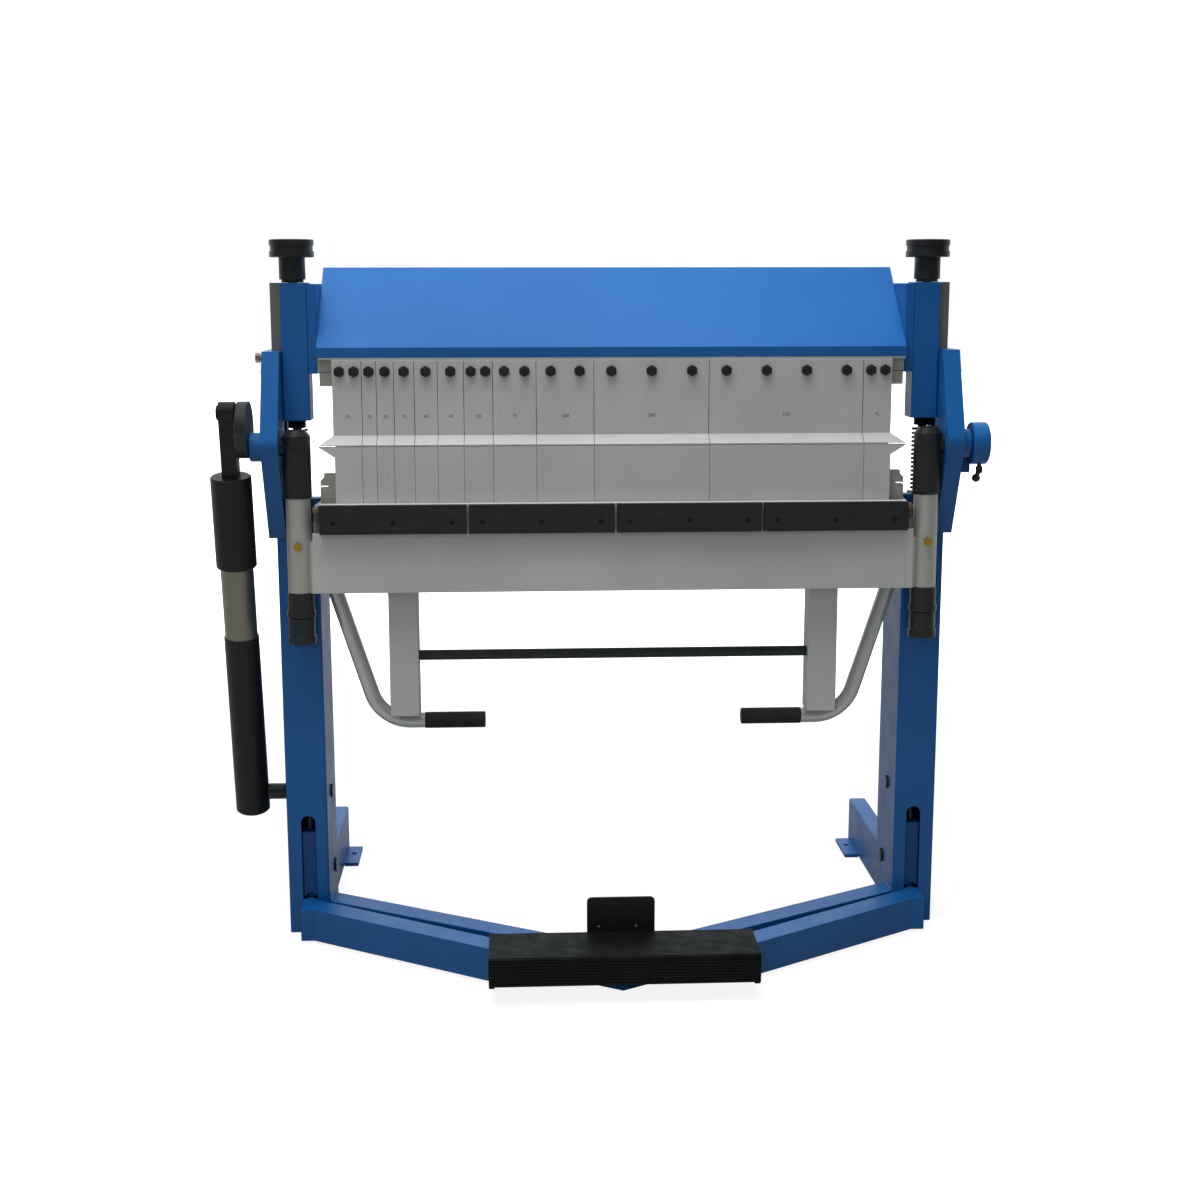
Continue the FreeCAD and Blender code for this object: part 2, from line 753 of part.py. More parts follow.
def pivot_hubs():
    """Both bearing hubs; the left one is longer, to bring the crank clear of the plate."""
    return [hub(HUB_RIGHT), mirrored(hub(HUB_LEFT))]


def stop_lug():
    """Fixed lug of the angle stop, on the right side plate."""
    z0 = LUG_TOP - LUG_HIGH
    half = LUG_DEEP / 2
    lug = box(CHEEK_OUT, CHEEK_OUT + LUG_LONG, LUG_Y - half, LUG_Y + half, z0, LUG_TOP)
    return [lug.makeFillet(LUG_EDGE_R, edges_along(lug, Vector(1, 0, 0)))]


def plate_screws():
    """Stud with a hexagon head, high on the outside of the left side plate."""
    y = GUIDE_FRONT + PLATE_SCREW_BACK
    z = PLATE_TOP - PLATE_SCREW_DOWN
    root = Vector(-CHEEK_OUT, y, z)
    tip = Vector(-CHEEK_OUT - PLATE_SCREW_LONG, y, z)
    head = hex_along(tip + Vector(PLATE_SCREW_HEAD, 0, 0), tip, PLATE_SCREW_FLATS)
    return [fuse_all([head, bar_between(root, tip, PLATE_SCREW_R)])]


def bed():
    """Bed: an inverted channel between the posts, narrower where it rises to the table."""
    x1 = POST_IN
    x2 = HALF_SPAN - LOWER_HORN - SEGMENT_GAP
    table_bottom = LOWER_TOP - TABLE_THICK
    body = box(-x1, x1, BED_FRONT, POST_BACK, BED_BOTTOM, POST_TOP)
    top = box(-x2, x2, BED_FRONT, POST_BACK, POST_TOP, table_bottom)
    w = BED_WALL
    hollow = box(-x1 + w, x1 - w, BED_FRONT + w, POST_BACK - w, BED_BOTTOM, POST_TOP - w)
    upper_hollow = box(-x2 + w, x2 - w, BED_FRONT + w, POST_BACK - w, POST_TOP - w, table_bottom - w)
    ledge = box(-x2, x2, LOWER_THICK, BED_FRONT, WEDGE_TOP, table_bottom)
    return [fuse_all([body, top, ledge]).cut(hollow).cut(upper_hollow)]


def table_plate():
    """Flat work table behind the lower blades."""
    half = HALF_SPAN - LOWER_HORN - SEGMENT_GAP
    return [box(-half, half, LOWER_THICK, POST_BACK, LOWER_TOP - TABLE_THICK, LOWER_TOP)]


def lower_wedge():
    """Wedge bar that clamps the lower blades, with a stepped top and a recessed foot."""
    z3 = WEDGE_TOP
    z2 = z3 - WEDGE_STEP_HIGH
    z1 = z2 - WEDGE_HIGH
    z0 = z1 - WEDGE_FOOT_HIGH
    x1 = HALF_SPAN - WEDGE_SHORT
    x2 = HALF_SPAN - WEDGE_STEP_SHORT
    x0 = HALF_SPAN - WEDGE_FOOT_SHORT
    c = WEDGE_CHAMFER
    right = [(x0, z0), (x0, z1), (x1, z1), (x1, z2 - c), (x1 - c, z2), (x2, z2), (x2, z3)]
    left = [(-x, z) for x, z in reversed(right)]
    return [along_y(right + left, LOWER_THICK, BED_FRONT)]


def lower_rail():
    """Rail under the wedge, bolted to the front of the bed."""
    half = HALF_SPAN - RAIL_SHORT
    top = WEDGE_TOP - WEDGE_STEP_HIGH - WEDGE_HIGH - WEDGE_FOOT_HIGH
    return [box(-half, half, LOWER_THICK, BED_FRONT, top - RAIL_HIGH, top)]


# Upper beam

def roof_outline(inset):
    """Side view of the upper beam: front lip, long slope, narrow ridge and back."""
    slope = math.atan2(RIDGE_Z - LIP_BOTTOM - LIP_HIGH, RIDGE_Y - LIP_Y)
    drop = inset / math.cos(slope)
    return [
        (LIP_Y + inset, LIP_BOTTOM),
        (LIP_Y + inset, LIP_BOTTOM + LIP_HIGH - drop + inset * math.tan(slope)),
        (RIDGE_Y, RIDGE_Z - drop),
        (BEAM_BACK - inset, RIDGE_Z - drop),
        (BEAM_BACK - inset, LIP_BOTTOM),
    ]


def upper_beam():
    """Welded tent of plate with end plates and inner ribs, open below."""
    outer = along_x(roof_outline(0), -ROOF_END, ROOF_END)
    inner = roof_outline(ROOF_THICK)
    bays = RIB_COUNT + 1
    pitch = (2 * ROOF_END - ROOF_THICK) / bays
    for k in range(bays):
        x0 = -ROOF_END + ROOF_THICK + k * pitch
        outer = outer.cut(along_x(inner, x0, x0 + pitch - ROOF_THICK))
    return [outer]


def upper_bar():
    """Heavy bar behind the blades that takes their bolts."""
    half = HALF_SPAN - BAR_SHORT
    return [box(-half, half, UPPER_BACK, UPPER_BACK + BAR_DEEP, BAR_TOP - BAR_UPPER_HIGH, BAR_TOP)]


def lower_bar():
    """Second bar, under the first, that backs the blades."""
    half = HALF_SPAN - BAR_LOWER_SHORT
    top = BAR_TOP - BAR_UPPER_HIGH
    return [box(-half, half, UPPER_BACK, UPPER_BACK + BAR_DEEP, top - BAR_LOWER_HIGH, top)]


def packing_strip():
    """Sole plate of the upper beam, thinner where it reaches over the blades."""
    half = HALF_SPAN - BAR_SHORT
    outline = [
        (LIP_Y - STRIP_NOSE, UPPER_TOP),
        (UPPER_BACK, UPPER_TOP),
        (UPPER_BACK, BAR_TOP),
        (BEAM_BACK, BAR_TOP),
        (BEAM_BACK, LIP_BOTTOM),
        (LIP_Y - STRIP_NOSE, LIP_BOTTOM),
    ]
    return [along_x(outline, -half, half)]


def end_brackets():
    """Brackets that bolt the upper beam to the slide blocks."""
    outline = [
        (BLOCK_FRONT, BRACKET_BOTTOM),
        (BLOCK_BACK, BRACKET_BOTTOM),
        (BLOCK_BACK, BRACKET_TOP),
        (BLOCK_FRONT, BRACKET_TOP),
    ]
    bracket = along_x(outline, ROOF_END, BLOCK_IN)
    top = edges_along(bracket, Vector(0, 1, 0), lambda p: p.z > BRACKET_TOP - 1 and p.x < ROOF_END + 1)
    return both_sides(bracket.makeFillet(BRACKET_R, top))


def slide_blocks():
    """Blocks that slide between the guide lips and carry the beam's ends."""
    block = box(BLOCK_IN, WEAR_IN, BLOCK_FRONT, BLOCK_BACK, BLOCK_BOTTOM, BLOCK_TOP)
    corners = edges_along(block, Vector(0, 0, 1), lambda p: p.y < BLOCK_FRONT + 1)
    block = block.makeChamfer(BLOCK_CHAMFER, corners)
    hole = bar_between(Vector(ROD_X, ROD_Y, BLOCK_BOTTOM), Vector(ROD_X, ROD_Y, BLOCK_TOP), ROD_R)
    return both_sides(block.cut(hole))


def wear_plates():
    """Ground plates on the outer sides of the slide blocks."""
    return both_sides(box(WEAR_IN, POST_OUT - GUIDE_GAP, GUIDE_FRONT, BLOCK_BACK, BLOCK_BOTTOM, BLOCK_TOP))


# Pull rods, springs and knobs

def pull_rods():
    """Rods from the knobs through the springs and posts to the yokes."""
    top = BLOCK_TOP + KNOB_STEM_HIGH + KNOB_HIGH / 2
    return both_sides(bar_between(Vector(ROD_X, ROD_Y, YOKE_TOP), Vector(ROD_X, ROD_Y, top), ROD_R))


def rod_yokes():
    """Yokes that straddle the pedal levers, each with a web in front and a head on top."""
    x0 = ROD_X - LEVER_WIDE / 2
    x1 = ROD_X + LEVER_WIDE / 2
    bottom = LINK_Z - 2 * LINK_R
    body = box(x0, x1, YOKE_FRONT, YOKE_BACK, bottom, YOKE_TOP)
    room = LEVER_PLATE / 2 + SEAT_GAP
    slot_top = YOKE_TOP - 2 * YOKE_WEB
    slot = box(ROD_X - room, ROD_X + room, YOKE_FRONT + YOKE_WEB, YOKE_BACK, bottom, slot_top)
    foot = LEVER_BOTTOM + LEVER_HIGH + YOKE_WEB_GAP
    under = box(ROD_X - room, ROD_X + room, YOKE_FRONT, YOKE_FRONT + YOKE_WEB, bottom, foot)
    pin = bar_between(Vector(x0, LINK_Y, LINK_Z), Vector(x1, LINK_Y, LINK_Z), LINK_R)
    return both_sides(body.cut(slot).cut(under).cut(pin))


def link_pins():
    """Pins that join the yokes to the pedal levers."""
    x0 = ROD_X - LEVER_WIDE / 2
    x1 = ROD_X + LEVER_WIDE / 2
    return both_sides(bar_between(Vector(x0, LINK_Y, LINK_Z), Vector(x1, LINK_Y, LINK_Z), LINK_R))


def arc_from(start, corner, end):
    """Arc that leaves the start towards the corner and reaches the end from it."""
    middle = (start + end) * 0.5
    half = start.distanceToPoint(middle)
    reach = corner.distanceToPoint(middle)
    side = math.hypot(half, reach)
    radius = half * side / reach
    centre_far = side * side / reach
    inward = (middle - corner).normalize()
    return Part.Arc(start, corner + inward * (centre_far - radius), end).toShape()


def biarc(p0, t0, p1, t1):
    """Two arcs that meet smoothly and join two points with given directions."""
    v = p1 - p0
    t = t0 + t1
    a = 2 * (1 - t0.dot(t1))
    b = 2 * v.dot(t)
    d = (-b + math.sqrt(b * b + 4 * a * v.dot(v))) / (2 * a)
    q0 = p0 + t0 * d
    q1 = p1 - t1 * d
    joint = (q0 + q1) * 0.5
    return [arc_from(p0, q0, joint), arc_from(joint, q1, p1)]


def helix_point(x, y, z, rise, turn):
    """Point and direction on an upright helix after a number of turns."""
    angle = 2 * math.pi * turn
    point = Vector(x + SPRING_R * math.cos(angle), y + SPRING_R * math.sin(angle), z + rise * turn)
    heading = Vector(-SPRING_R * math.sin(angle), SPRING_R * math.cos(angle), rise / (2 * math.pi))
    return point, heading.normalize()


def clamp_springs():
    """Compression springs between the cap plates and the slide blocks."""
    z0 = CAP_TOP + SPRING_WIRE_R + SPRING_END_GAP
    z1 = BLOCK_BOTTOM - SPRING_WIRE_R - SPRING_END_GAP
    rise = (z1 - z0) / SPRING_TURNS
    tail = 2 * SPRING_WIRE_R
    first, heading = helix_point(ROD_X, ROD_Y, z0, rise, 0)
    last, heading_out = helix_point(ROD_X, ROD_Y, z0, rise, SPRING_TURNS)
    start = first - heading * tail
    edges = [Part.makeLine(start, first)]
    for k in range(4 * SPRING_TURNS):
        p0, t0 = helix_point(ROD_X, ROD_Y, z0, rise, k / 4)
        p1, t1 = helix_point(ROD_X, ROD_Y, z0, rise, (k + 1) / 4)
        edges += biarc(p0, t0, p1, t1)
    edges.append(Part.makeLine(last, last + heading_out * tail))
    path = Part.Wire(edges)
    circle = Part.Wire([Part.makeCircle(SPRING_WIRE_R, start, heading)])
    coil = path.makePipeShell([circle], True, False)
    steps = SPRING_TURNS * SPRING_SAMPLES
    samples = [helix_point(ROD_X, ROD_Y, z0, rise, k / SPRING_SAMPLES)[0] for k in range(steps)]
    apart = SPRING_SAMPLES // 2
    least = min((samples[i] - samples[j]).Length for i in range(steps) for j in range(i + apart, steps))
    print("spring: least gap to itself %.2f mm" % (least - 2 * SPRING_WIRE_R))
    return both_sides(coil)


def knob():
    """Adjusting knob: stepped stem, two flanges and the groove between them."""
    z0 = BLOCK_TOP + SEAT_GAP
    z1 = BLOCK_TOP + KNOB_STEM_HIGH
    z2 = z1 + KNOB_HIGH
    groove_low = z1 + KNOB_HIGH / 3
    groove_high = z2 - KNOB_HIGH / 3
    e = KNOB_EDGE
    bore = ROD_R + RUN_FIT
    bore_top = z1 + KNOB_HIGH / 2 + SEAT_GAP
    profile = [
        (bore, z0),
        (KNOB_STEP_R, z0),
        (KNOB_STEP_R, z0 + KNOB_STEP_HIGH),
        (KNOB_STEM_R, z0 + KNOB_STEP_HIGH),
        (KNOB_STEM_R, z1),
        (KNOB_R - e, z1),
        (KNOB_R, z1 + e),
        (KNOB_R, groove_low),
        (KNOB_GROOVE_R, groove_low),
        (KNOB_GROOVE_R, groove_high),
        (KNOB_R, groove_high),
        (KNOB_R, z2 - e),
        (KNOB_R - e, z2),
        (0, z2),
        (0, bore_top),
        (bore, bore_top),
    ]
    return turned_z(profile, ROD_X, ROD_Y)


# Foot pedal

def pedal_levers():
    """Levers on the pivot pins: a boss and plate in the post and a square nose out of its slot."""
    half = LEVER_PLATE / 2
    top = LEVER_BOTTOM + LEVER_HIGH
    outline = [
        (LEVER_FRONT, LEVER_BOTTOM),
        (PIVOT_Y - LEVER_BOSS_R, LEVER_BOTTOM),
        (PIVOT_Y + LEVER_BOSS_R * 0.8, PIVOT_Z - LEVER_BOSS_R * 0.3),
        (PIVOT_Y, PIVOT_Z + LEVER_BOSS_R * 0.9),
        (LINK_Y, LINK_Z + 2 * LINK_R),
        (LINK_Y - 2 * LINK_R, LINK_Z),
        (LINK_Y - 2 * LINK_R, top),
        (LEVER_FRONT, top),
    ]
    plate = along_x(outline, ROD_X - half, ROD_X + half)
    nose_back = POST_FRONT + POST_WALL
    nose = box(ROD_X - LEVER_WIDE / 2, ROD_X + LEVER_WIDE / 2, LEVER_FRONT, nose_back, LEVER_BOTTOM, top)
    boss_in = POST_IN + POST_WALL + SEAT_GAP
    boss_out = POST_OUT - POST_WALL - SEAT_GAP
    boss = bar_between(Vector(boss_in, PIVOT_Y, PIVOT_Z), Vector(boss_out, PIVOT_Y, PIVOT_Z), LEVER_BOSS_R)
    lever = fuse_all([plate, nose, boss]).cut(pivot_pin_bar(RUN_FIT))
    slot_r = LINK_R + LINK_SLOT_GAP
    ends = [Vector(ROD_X - half, LINK_Y + s * LINK_SLOT / 2, LINK_Z) for s in (-1, 1)]
    for end in ends:
        lever = lever.cut(bar_between(end, end + Vector(2 * half, 0, 0), slot_r))
    middle = box(
        ROD_X - half, ROD_X + half, ends[0].y, ends[1].y, LINK_Z - slot_r, LINK_Z + slot_r
    )
    return both_sides(lever.cut(middle))


def arm_outline(inset):
    """Plan of a pedal arm, from the lever inwards and forwards, with optional wall inset."""
    x0 = ROD_X - LEVER_WIDE / 2
    run = (x0 - TREAD_HALF) * ARM_SLOPE
    return [
        (x0, LEVER_FRONT + inset),
        (x0, LEVER_FRONT + ARM_ACROSS - inset),
        (TREAD_HALF, LEVER_FRONT + ARM_ACROSS - inset - run),
        (TREAD_HALF, LEVER_FRONT + inset - run),
    ]


def pedal_arms():
    """Rectangular tubes from the levers to the tread."""
    top = LEVER_BOTTOM + LEVER_HIGH
    outer = along_z(arm_outline(0), LEVER_BOTTOM, top)
    wall_across = ARM_WALL * math.hypot(1, ARM_SLOPE)
    inner = along_z(arm_outline(wall_across), LEVER_BOTTOM + ARM_WALL, top - ARM_WALL)
    return both_sides(outer.cut(inner))


def tread_plate():
    """Bent tread with grooves along its top, closed by a gusset at each end."""
    outline = [
        (TREAD_FRONT, TREAD_TOP - TREAD_APRON),
        (TREAD_FRONT + TREAD_PLATE, TREAD_TOP - TREAD_APRON),
        (TREAD_FRONT + TREAD_PLATE, TREAD_TOP - TREAD_PLATE),
        (TREAD_BACK, TREAD_TOP - TREAD_PLATE),
        (TREAD_BACK, TREAD_TOP),
        (TREAD_FRONT, TREAD_TOP),
    ]
    tread = along_x(outline, -TREAD_HALF, TREAD_HALF)
    bend = edges_along(tread, Vector(1, 0, 0), lambda p: p.y < TREAD_FRONT + 1 and p.z > TREAD_TOP - 1)
    tread = tread.makeFillet(TREAD_CORNER_R, bend)
    pitch = (TREAD_BACK - TREAD_FRONT - TREAD_CORNER_R) / (TREAD_RIBS + 1)
    for k in range(TREAD_RIBS):
        y = TREAD_FRONT + TREAD_CORNER_R + (k + 1) * pitch
        low = TREAD_TOP - RIB_GROOVE / 2
        groove = box(-TREAD_HALF, TREAD_HALF, y - RIB_GROOVE, y + RIB_GROOVE, low, TREAD_TOP)
        tread = tread.cut(groove)
    front = TREAD_FRONT + TREAD_PLATE
    under = TREAD_TOP - TREAD_PLATE
    gusset = [
        (front, TREAD_TOP - TREAD_APRON - GUSSET_DROP),
        (GUSSET_KNEE, LEVER_BOTTOM),
        (GUSSET_BACK, LEVER_BOTTOM),
        (GUSSET_BACK, under - GUSSET_BACK_DROP),
        (TREAD_BACK, under),
        (front, under),
    ]
    right = along_x(gusset, TREAD_HALF - GUSSET_THICK, TREAD_HALF)
    return [fuse_all([tread, right, mirrored(right)])]


def toe_hinge_z():
    """Height of the release plate's hinge, just above the tie bar."""
    return FLOOR + TIE_HIGH + TOE_HINGE_LIFT


def release_plate():
    """Upright plate behind the tread that the toe pushes back, on a barrel hinge."""
    half = TOE_PLATE_WIDE / 2
    z = toe_hinge_z()
    y0 = TOE_HINGE_Y - TOE_HINGE_R
    plate = box(-half, half, y0, y0 + TOE_PLATE_THICK, z, TOE_PLATE_TOP)
    corners = edges_along(plate, Vector(0, 1, 0), lambda p: p.z > TOE_PLATE_TOP - 1)
    plate = plate.makeFillet(TOE_PLATE_R, corners)
    barrel = bar_between(Vector(-half, TOE_HINGE_Y, z), Vector(half, TOE_HINGE_Y, z), TOE_HINGE_R)
    pin = bar_between(Vector(-half, TOE_HINGE_Y, z), Vector(half, TOE_HINGE_Y, z), TOE_PIN_R + RUN_FIT)
    return [fuse_all([plate, barrel]).cut(pin)]


def hinge_ears():
    """Ears on the tie bar that hold the release plate's pin, one solid with the pin."""
    x0 = TOE_PLATE_WIDE / 2 + SEAT_GAP
    x1 = x0 + TOE_EAR
    z = toe_hinge_z()
    tie_top = FLOOR + TIE_HIGH
    front = TIE_TIP + x1 * TIE_SLOPE + TOE_EAR_INSET
    outline = [
        (front, tie_top),
        (TOE_HINGE_Y + TOE_HINGE_R, tie_top),
        (TOE_HINGE_Y + TOE_HINGE_R, z + TOE_HINGE_R),
        (TOE_HINGE_Y - TOE_HINGE_R, z + TOE_HINGE_R),
    ]
    ear = along_x(outline, x0, x1)
    pin = bar_between(Vector(-x1, TOE_HINGE_Y, z), Vector(x1, TOE_HINGE_Y, z), TOE_PIN_R)
    return [fuse_all([ear, mirrored(ear), pin])]


# Swinging ends of the bending beam

def pivot_sleeves():
    """Sleeves on the bend line: closed and chamfered above, bored for the beam's tubes below."""
    r = SLEEVE_R
    bore_top = SLEEVE_BOTTOM + TUBE_ENTRY + BEAM_LIFT + BEAM_LIFT_SPARE
    profile = [
        (TUBE_R + RUN_FIT, SLEEVE_BOTTOM),
        (r - SLEEVE_FOOT_CHAMFER * 0.5, SLEEVE_BOTTOM),
        (r, SLEEVE_BOTTOM + SLEEVE_FOOT_CHAMFER),
        (r, SLEEVE_TOP - SLEEVE_CHAMFER_HIGH),
        (r - SLEEVE_CHAMFER_WIDE, SLEEVE_TOP),
        (0, SLEEVE_TOP),
        (0, SLEEVE_TOP - SLEEVE_CAP),
        (SPINDLE_R, SLEEVE_TOP - SLEEVE_CAP),
        (SPINDLE_R, bore_top),
        (TUBE_R + RUN_FIT, bore_top),
    ]
    sleeve = turned_z(profile, TUBE_X, 0)
    grub = bar_between(Vector(TUBE_X, -r, 0), Vector(TUBE_X, -r + GRUB_SUNK, 0), GRUB_R)
    return both_sides(sleeve.cut(grub))


def height_spindles():
    """Spindles fixed in the sleeves, which the beam's tubes slide on."""
    foot = BEAM_BOTTOM - sum(body + flange for body, flange in NUT_HEIGHTS) + SPINDLE_SHORT
    head = SLEEVE_TOP - SLEEVE_CAP
    return both_sides(bar_between(Vector(TUBE_X, 0, foot), Vector(TUBE_X, 0, head), SPINDLE_R))


def pivot_shaft(reach):
    """Shaft from the sleeve's side out through the side plate and hub."""
    shaft = bar_between(Vector(TUBE_X + SLEEVE_R / 2, 0, 0), Vector(reach, 0, 0), SHAFT_R)
    sleeve = Part.makeCylinder(SLEEVE_R, 4 * SHAFT_R, Vector(TUBE_X, 0, -2 * SHAFT_R))
    return shaft.cut(sleeve)


def pivot_shafts():
    """Both shafts: the right one carries the stop collar, the left one the crank."""
    right = pivot_shaft(CHEEK_OUT + HUB_RIGHT + COLLAR_GAP + COLLAR_THICK)
    left = mirrored(pivot_shaft(CHEEK_OUT + HUB_LEFT + CRANK_THICK))
    return [right, left]


def crank_disc():
    """Crank on the left shaft: a round disc set off from the shaft's line."""
    x0 = -(CHEEK_OUT + HUB_LEFT + CRANK_THICK)
    x1 = -(CHEEK_OUT + HUB_LEFT) - SEAT_GAP
    disc = bar_between(Vector(x0, 0, CRANK_RISE), Vector(x1, 0, CRANK_RISE), CRANK_R)
    rims = [edge for edge in disc.Edges if edge.Closed and edge.CenterOfMass.x < x0 + 1]
    disc = disc.makeChamfer(CRANK_CHAMFER, rims)
    return [disc.cut(bar_between(Vector(x0, 0, 0), Vector(x1, 0, 0), SHAFT_R))]


def stop_collar():
    """Collar of the angle stop, split at its clamp screw."""
    x0 = CHEEK_OUT + HUB_RIGHT + COLLAR_GAP
    x1 = x0 + COLLAR_THICK
    collar = bar_between(Vector(x0, 0, 0), Vector(x1, 0, 0), COLLAR_R)
    rims = [edge for edge in collar.Edges if edge.Closed]
    collar = collar.makeChamfer(COLLAR_CHAMFER, rims)
    collar = collar.cut(bar_between(Vector(x0, 0, 0), Vector(x1, 0, 0), SHAFT_R + RUN_FIT))
    x = CHEEK_OUT + HUB_RIGHT + STOP_X
    hole = bar_between(Vector(x, 0, -COLLAR_R), Vector(x, 0, -SHAFT_R - COLLAR_WEB), STOP_STEM_R + RUN_FIT)
    return [collar.cut(hole)]


def stop_screw():
    """Clamp screw of the collar with a cross lever and ball."""
    x = CHEEK_OUT + HUB_RIGHT + STOP_X
    top = -SHAFT_R - COLLAR_WEB - SEAT_GAP
    stem = bar_between(Vector(x, 0, top), Vector(x, 0, -STOP_REACH), STOP_STEM_R)
    head = bar_between(Vector(x, 0, -COLLAR_R - STOP_HEAD_DOWN), Vector(x, 0, -STOP_REACH), STOP_HEAD_R)
    root = Vector(x, 0, -STOP_REACH + STOP_ARM_R)
    tip = Vector(x, STOP_ARM_LONG, -STOP_REACH - STOP_ARM_DROP)
    arm = Part.makeCone(STOP_ARM_R, STOP_ARM_TIP_R, (tip - root).Length, root, tip - root)
    ball = Part.makeSphere(STOP_BALL_R, tip)
    return [fuse_all([stem, head, arm, ball])]


# Bending beam

def beam_tube():
    """Tube at the end of the bending beam, bored for the spindle."""
    top = Vector(TUBE_X, 0, SLEEVE_BOTTOM + TUBE_ENTRY)
    return bar_between(Vector(TUBE_X, 0, BEAM_BOTTOM), top, TUBE_R)


def beam_plan(front):
    """Plan of the beam's plate, slanted back at both ends where it meets the tubes."""
    flat = HALF_SPAN + NOTCH_OUT
    end = flat + BEAM_END_SLANT
    right = [(flat, front), (end, front + BEAM_END_BACK), (end, BEAM_REAR)]
    return [(-x, y) for x, y in reversed(right)] + right


def bending_beam():
    """Welded beam: front plate, bottom flange and an upright tube at each end."""
    step = BEAM_FRONT + BEAM_FACE_STEP
    plate = along_z(beam_plan(step), BEAM_BOTTOM, BEAM_TOP)
    flange_top = BEAM_BOTTOM + BEAM_FLANGE
    flange = box(-HALF_SPAN, HALF_SPAN, BEAM_REAR, BEAM_FLANGE_BACK, BEAM_BOTTOM, flange_top)
    face_half = HALF_SPAN - NOTCH_IN
    face = box(-face_half, face_half, BEAM_FRONT, step, BEAM_BOTTOM, BEAM_TOP)
    notch_end = HALF_SPAN + NOTCH_OUT
    notch = box(face_half, notch_end, BEAM_FRONT, BEAM_REAR, BEAM_TOP - STRIP_HIGH, BEAM_TOP)
    sleeve_reach = SLEEVE_BOTTOM - BEAM_LIFT - BEAM_LIFT_SPARE
    outside = box(notch_end, TUBE_X, BEAM_FRONT, BEAM_REAR, sleeve_reach, BEAM_TOP)
    plate = plate.cut(notch).cut(mirrored(notch)).cut(outside).cut(mirrored(outside))
    whole = fuse_all([plate, flange, face, beam_tube(), mirrored(beam_tube())])
    for side in (-1, 1):
        x = side * TUBE_X
        top = Vector(x, 0, SLEEVE_BOTTOM + TUBE_ENTRY)
        whole = whole.cut(bar_between(Vector(x, 0, BEAM_BOTTOM), top, SPINDLE_R + RUN_FIT))
        lock = bar_between(Vector(x, -TUBE_R, LOCK_Z), Vector(x, -SPINDLE_R, LOCK_Z), LOCK_R)
        whole = whole.cut(lock)
        mouth = Vector(side * end_bolt_x(), beam_middle(), end_bolt_foot())
        whole = whole.cut(bar_between(mouth, mouth - Vector(0, 0, END_BOLT_SUNK), END_BOLT_R))
    for x, y, z in strip_screw_spots():
        start = Vector(x, BEAM_FRONT, z)
        whole = whole.cut(bar_between(start, start + Vector(0, STRIP_SCREW_DEEP, 0), STRIP_SHANK_R))
    return [whole]


def end_bolt_x():
    """Middle of the notches at the ends of the beam."""
    return HALF_SPAN + (NOTCH_OUT - NOTCH_IN) / 2


def end_bolt_foot():
    """Floor of the notches, which the end bolts are screwed into."""
    return BEAM_TOP - STRIP_HIGH


def beam_middle():
    """Middle of the beam plate's thickness."""
    return (BEAM_FRONT + BEAM_REAR) / 2


def end_bolts():
    """Adjusting screws that stand in the notches, each with a tall nut."""
    x = end_bolt_x()
    y = beam_middle()
    z = end_bolt_foot()
    top = Vector(x, y, z + END_BOLT_HIGH)
    shank = bar_between(Vector(x, y, z - END_BOLT_SUNK), top, END_BOLT_R)
    nut = hex_along(Vector(x, y, z), Vector(x, y, z + END_NUT_HIGH), END_BOLT_FLATS)
    return both_sides(fuse_all([shank, nut]))


def strip_spans():
    """Left and right edges of the four strips on the front of the beam."""
    half = HALF_SPAN - STRIP_SHORT
    long = (2 * half - (STRIP_COUNT - 1) * STRIP_GAP) / STRIP_COUNT
    starts = [-half + k * (long + STRIP_GAP) for k in range(STRIP_COUNT)]
    return [(start, start + long) for start in starts]


def strip_screw_spots():
    """Screw positions: three on each strip."""
    spots = []
    for left, right in strip_spans():
        middle = (left + right) / 2
        for k in (-1, 0, 1):
            x = middle + k * STRIP_SCREW_PITCH
            spots.append((x, BEAM_FRONT - STRIP_DEEP, BEAM_TOP - STRIP_SCREW_DOWN))
    return spots


def folding_strips():
    """Hard strips along the top edge of the beam."""
    strips = []
    for left, right in strip_spans():
        strip = box(left, right, BEAM_FRONT - STRIP_DEEP, BEAM_FRONT, BEAM_TOP - STRIP_HIGH, BEAM_TOP)
        strips.append(strip)
    for x, y, z in strip_screw_spots():
        hole = bar_between(Vector(x, y, z), Vector(x, y + STRIP_DEEP, z), STRIP_SCREW_R)
        strips = [s.cut(hole) if s.BoundBox.XMin < x < s.BoundBox.XMax else s for s in strips]
    return strips


def strip_screws():
    """Socket screws sunk in the strips."""
    screws = []
    for x, y, z in strip_screw_spots():
        face = Vector(x, y + STRIP_SCREW_SUNK, z)
        head = bar_between(face, Vector(x, y + STRIP_DEEP, z), STRIP_SCREW_R)
        socket = hex_along(face, face + Vector(0, STRIP_SOCKET_DEEP, 0), 2 * STRIP_SOCKET_R)
        shank = bar_between(
            Vector(x, y + STRIP_DEEP, z), Vector(x, y + STRIP_DEEP + STRIP_SCREW_DEEP, z), STRIP_SHANK_R
        )
        screws.append(head.fuse(shank).cut(socket))
    return screws


def handle_middle():
    """Depth at which the handles run, midway through the legs."""
    return LEG_FRONT + LEG_DEEP / 2 - HANDLE_FORWARD


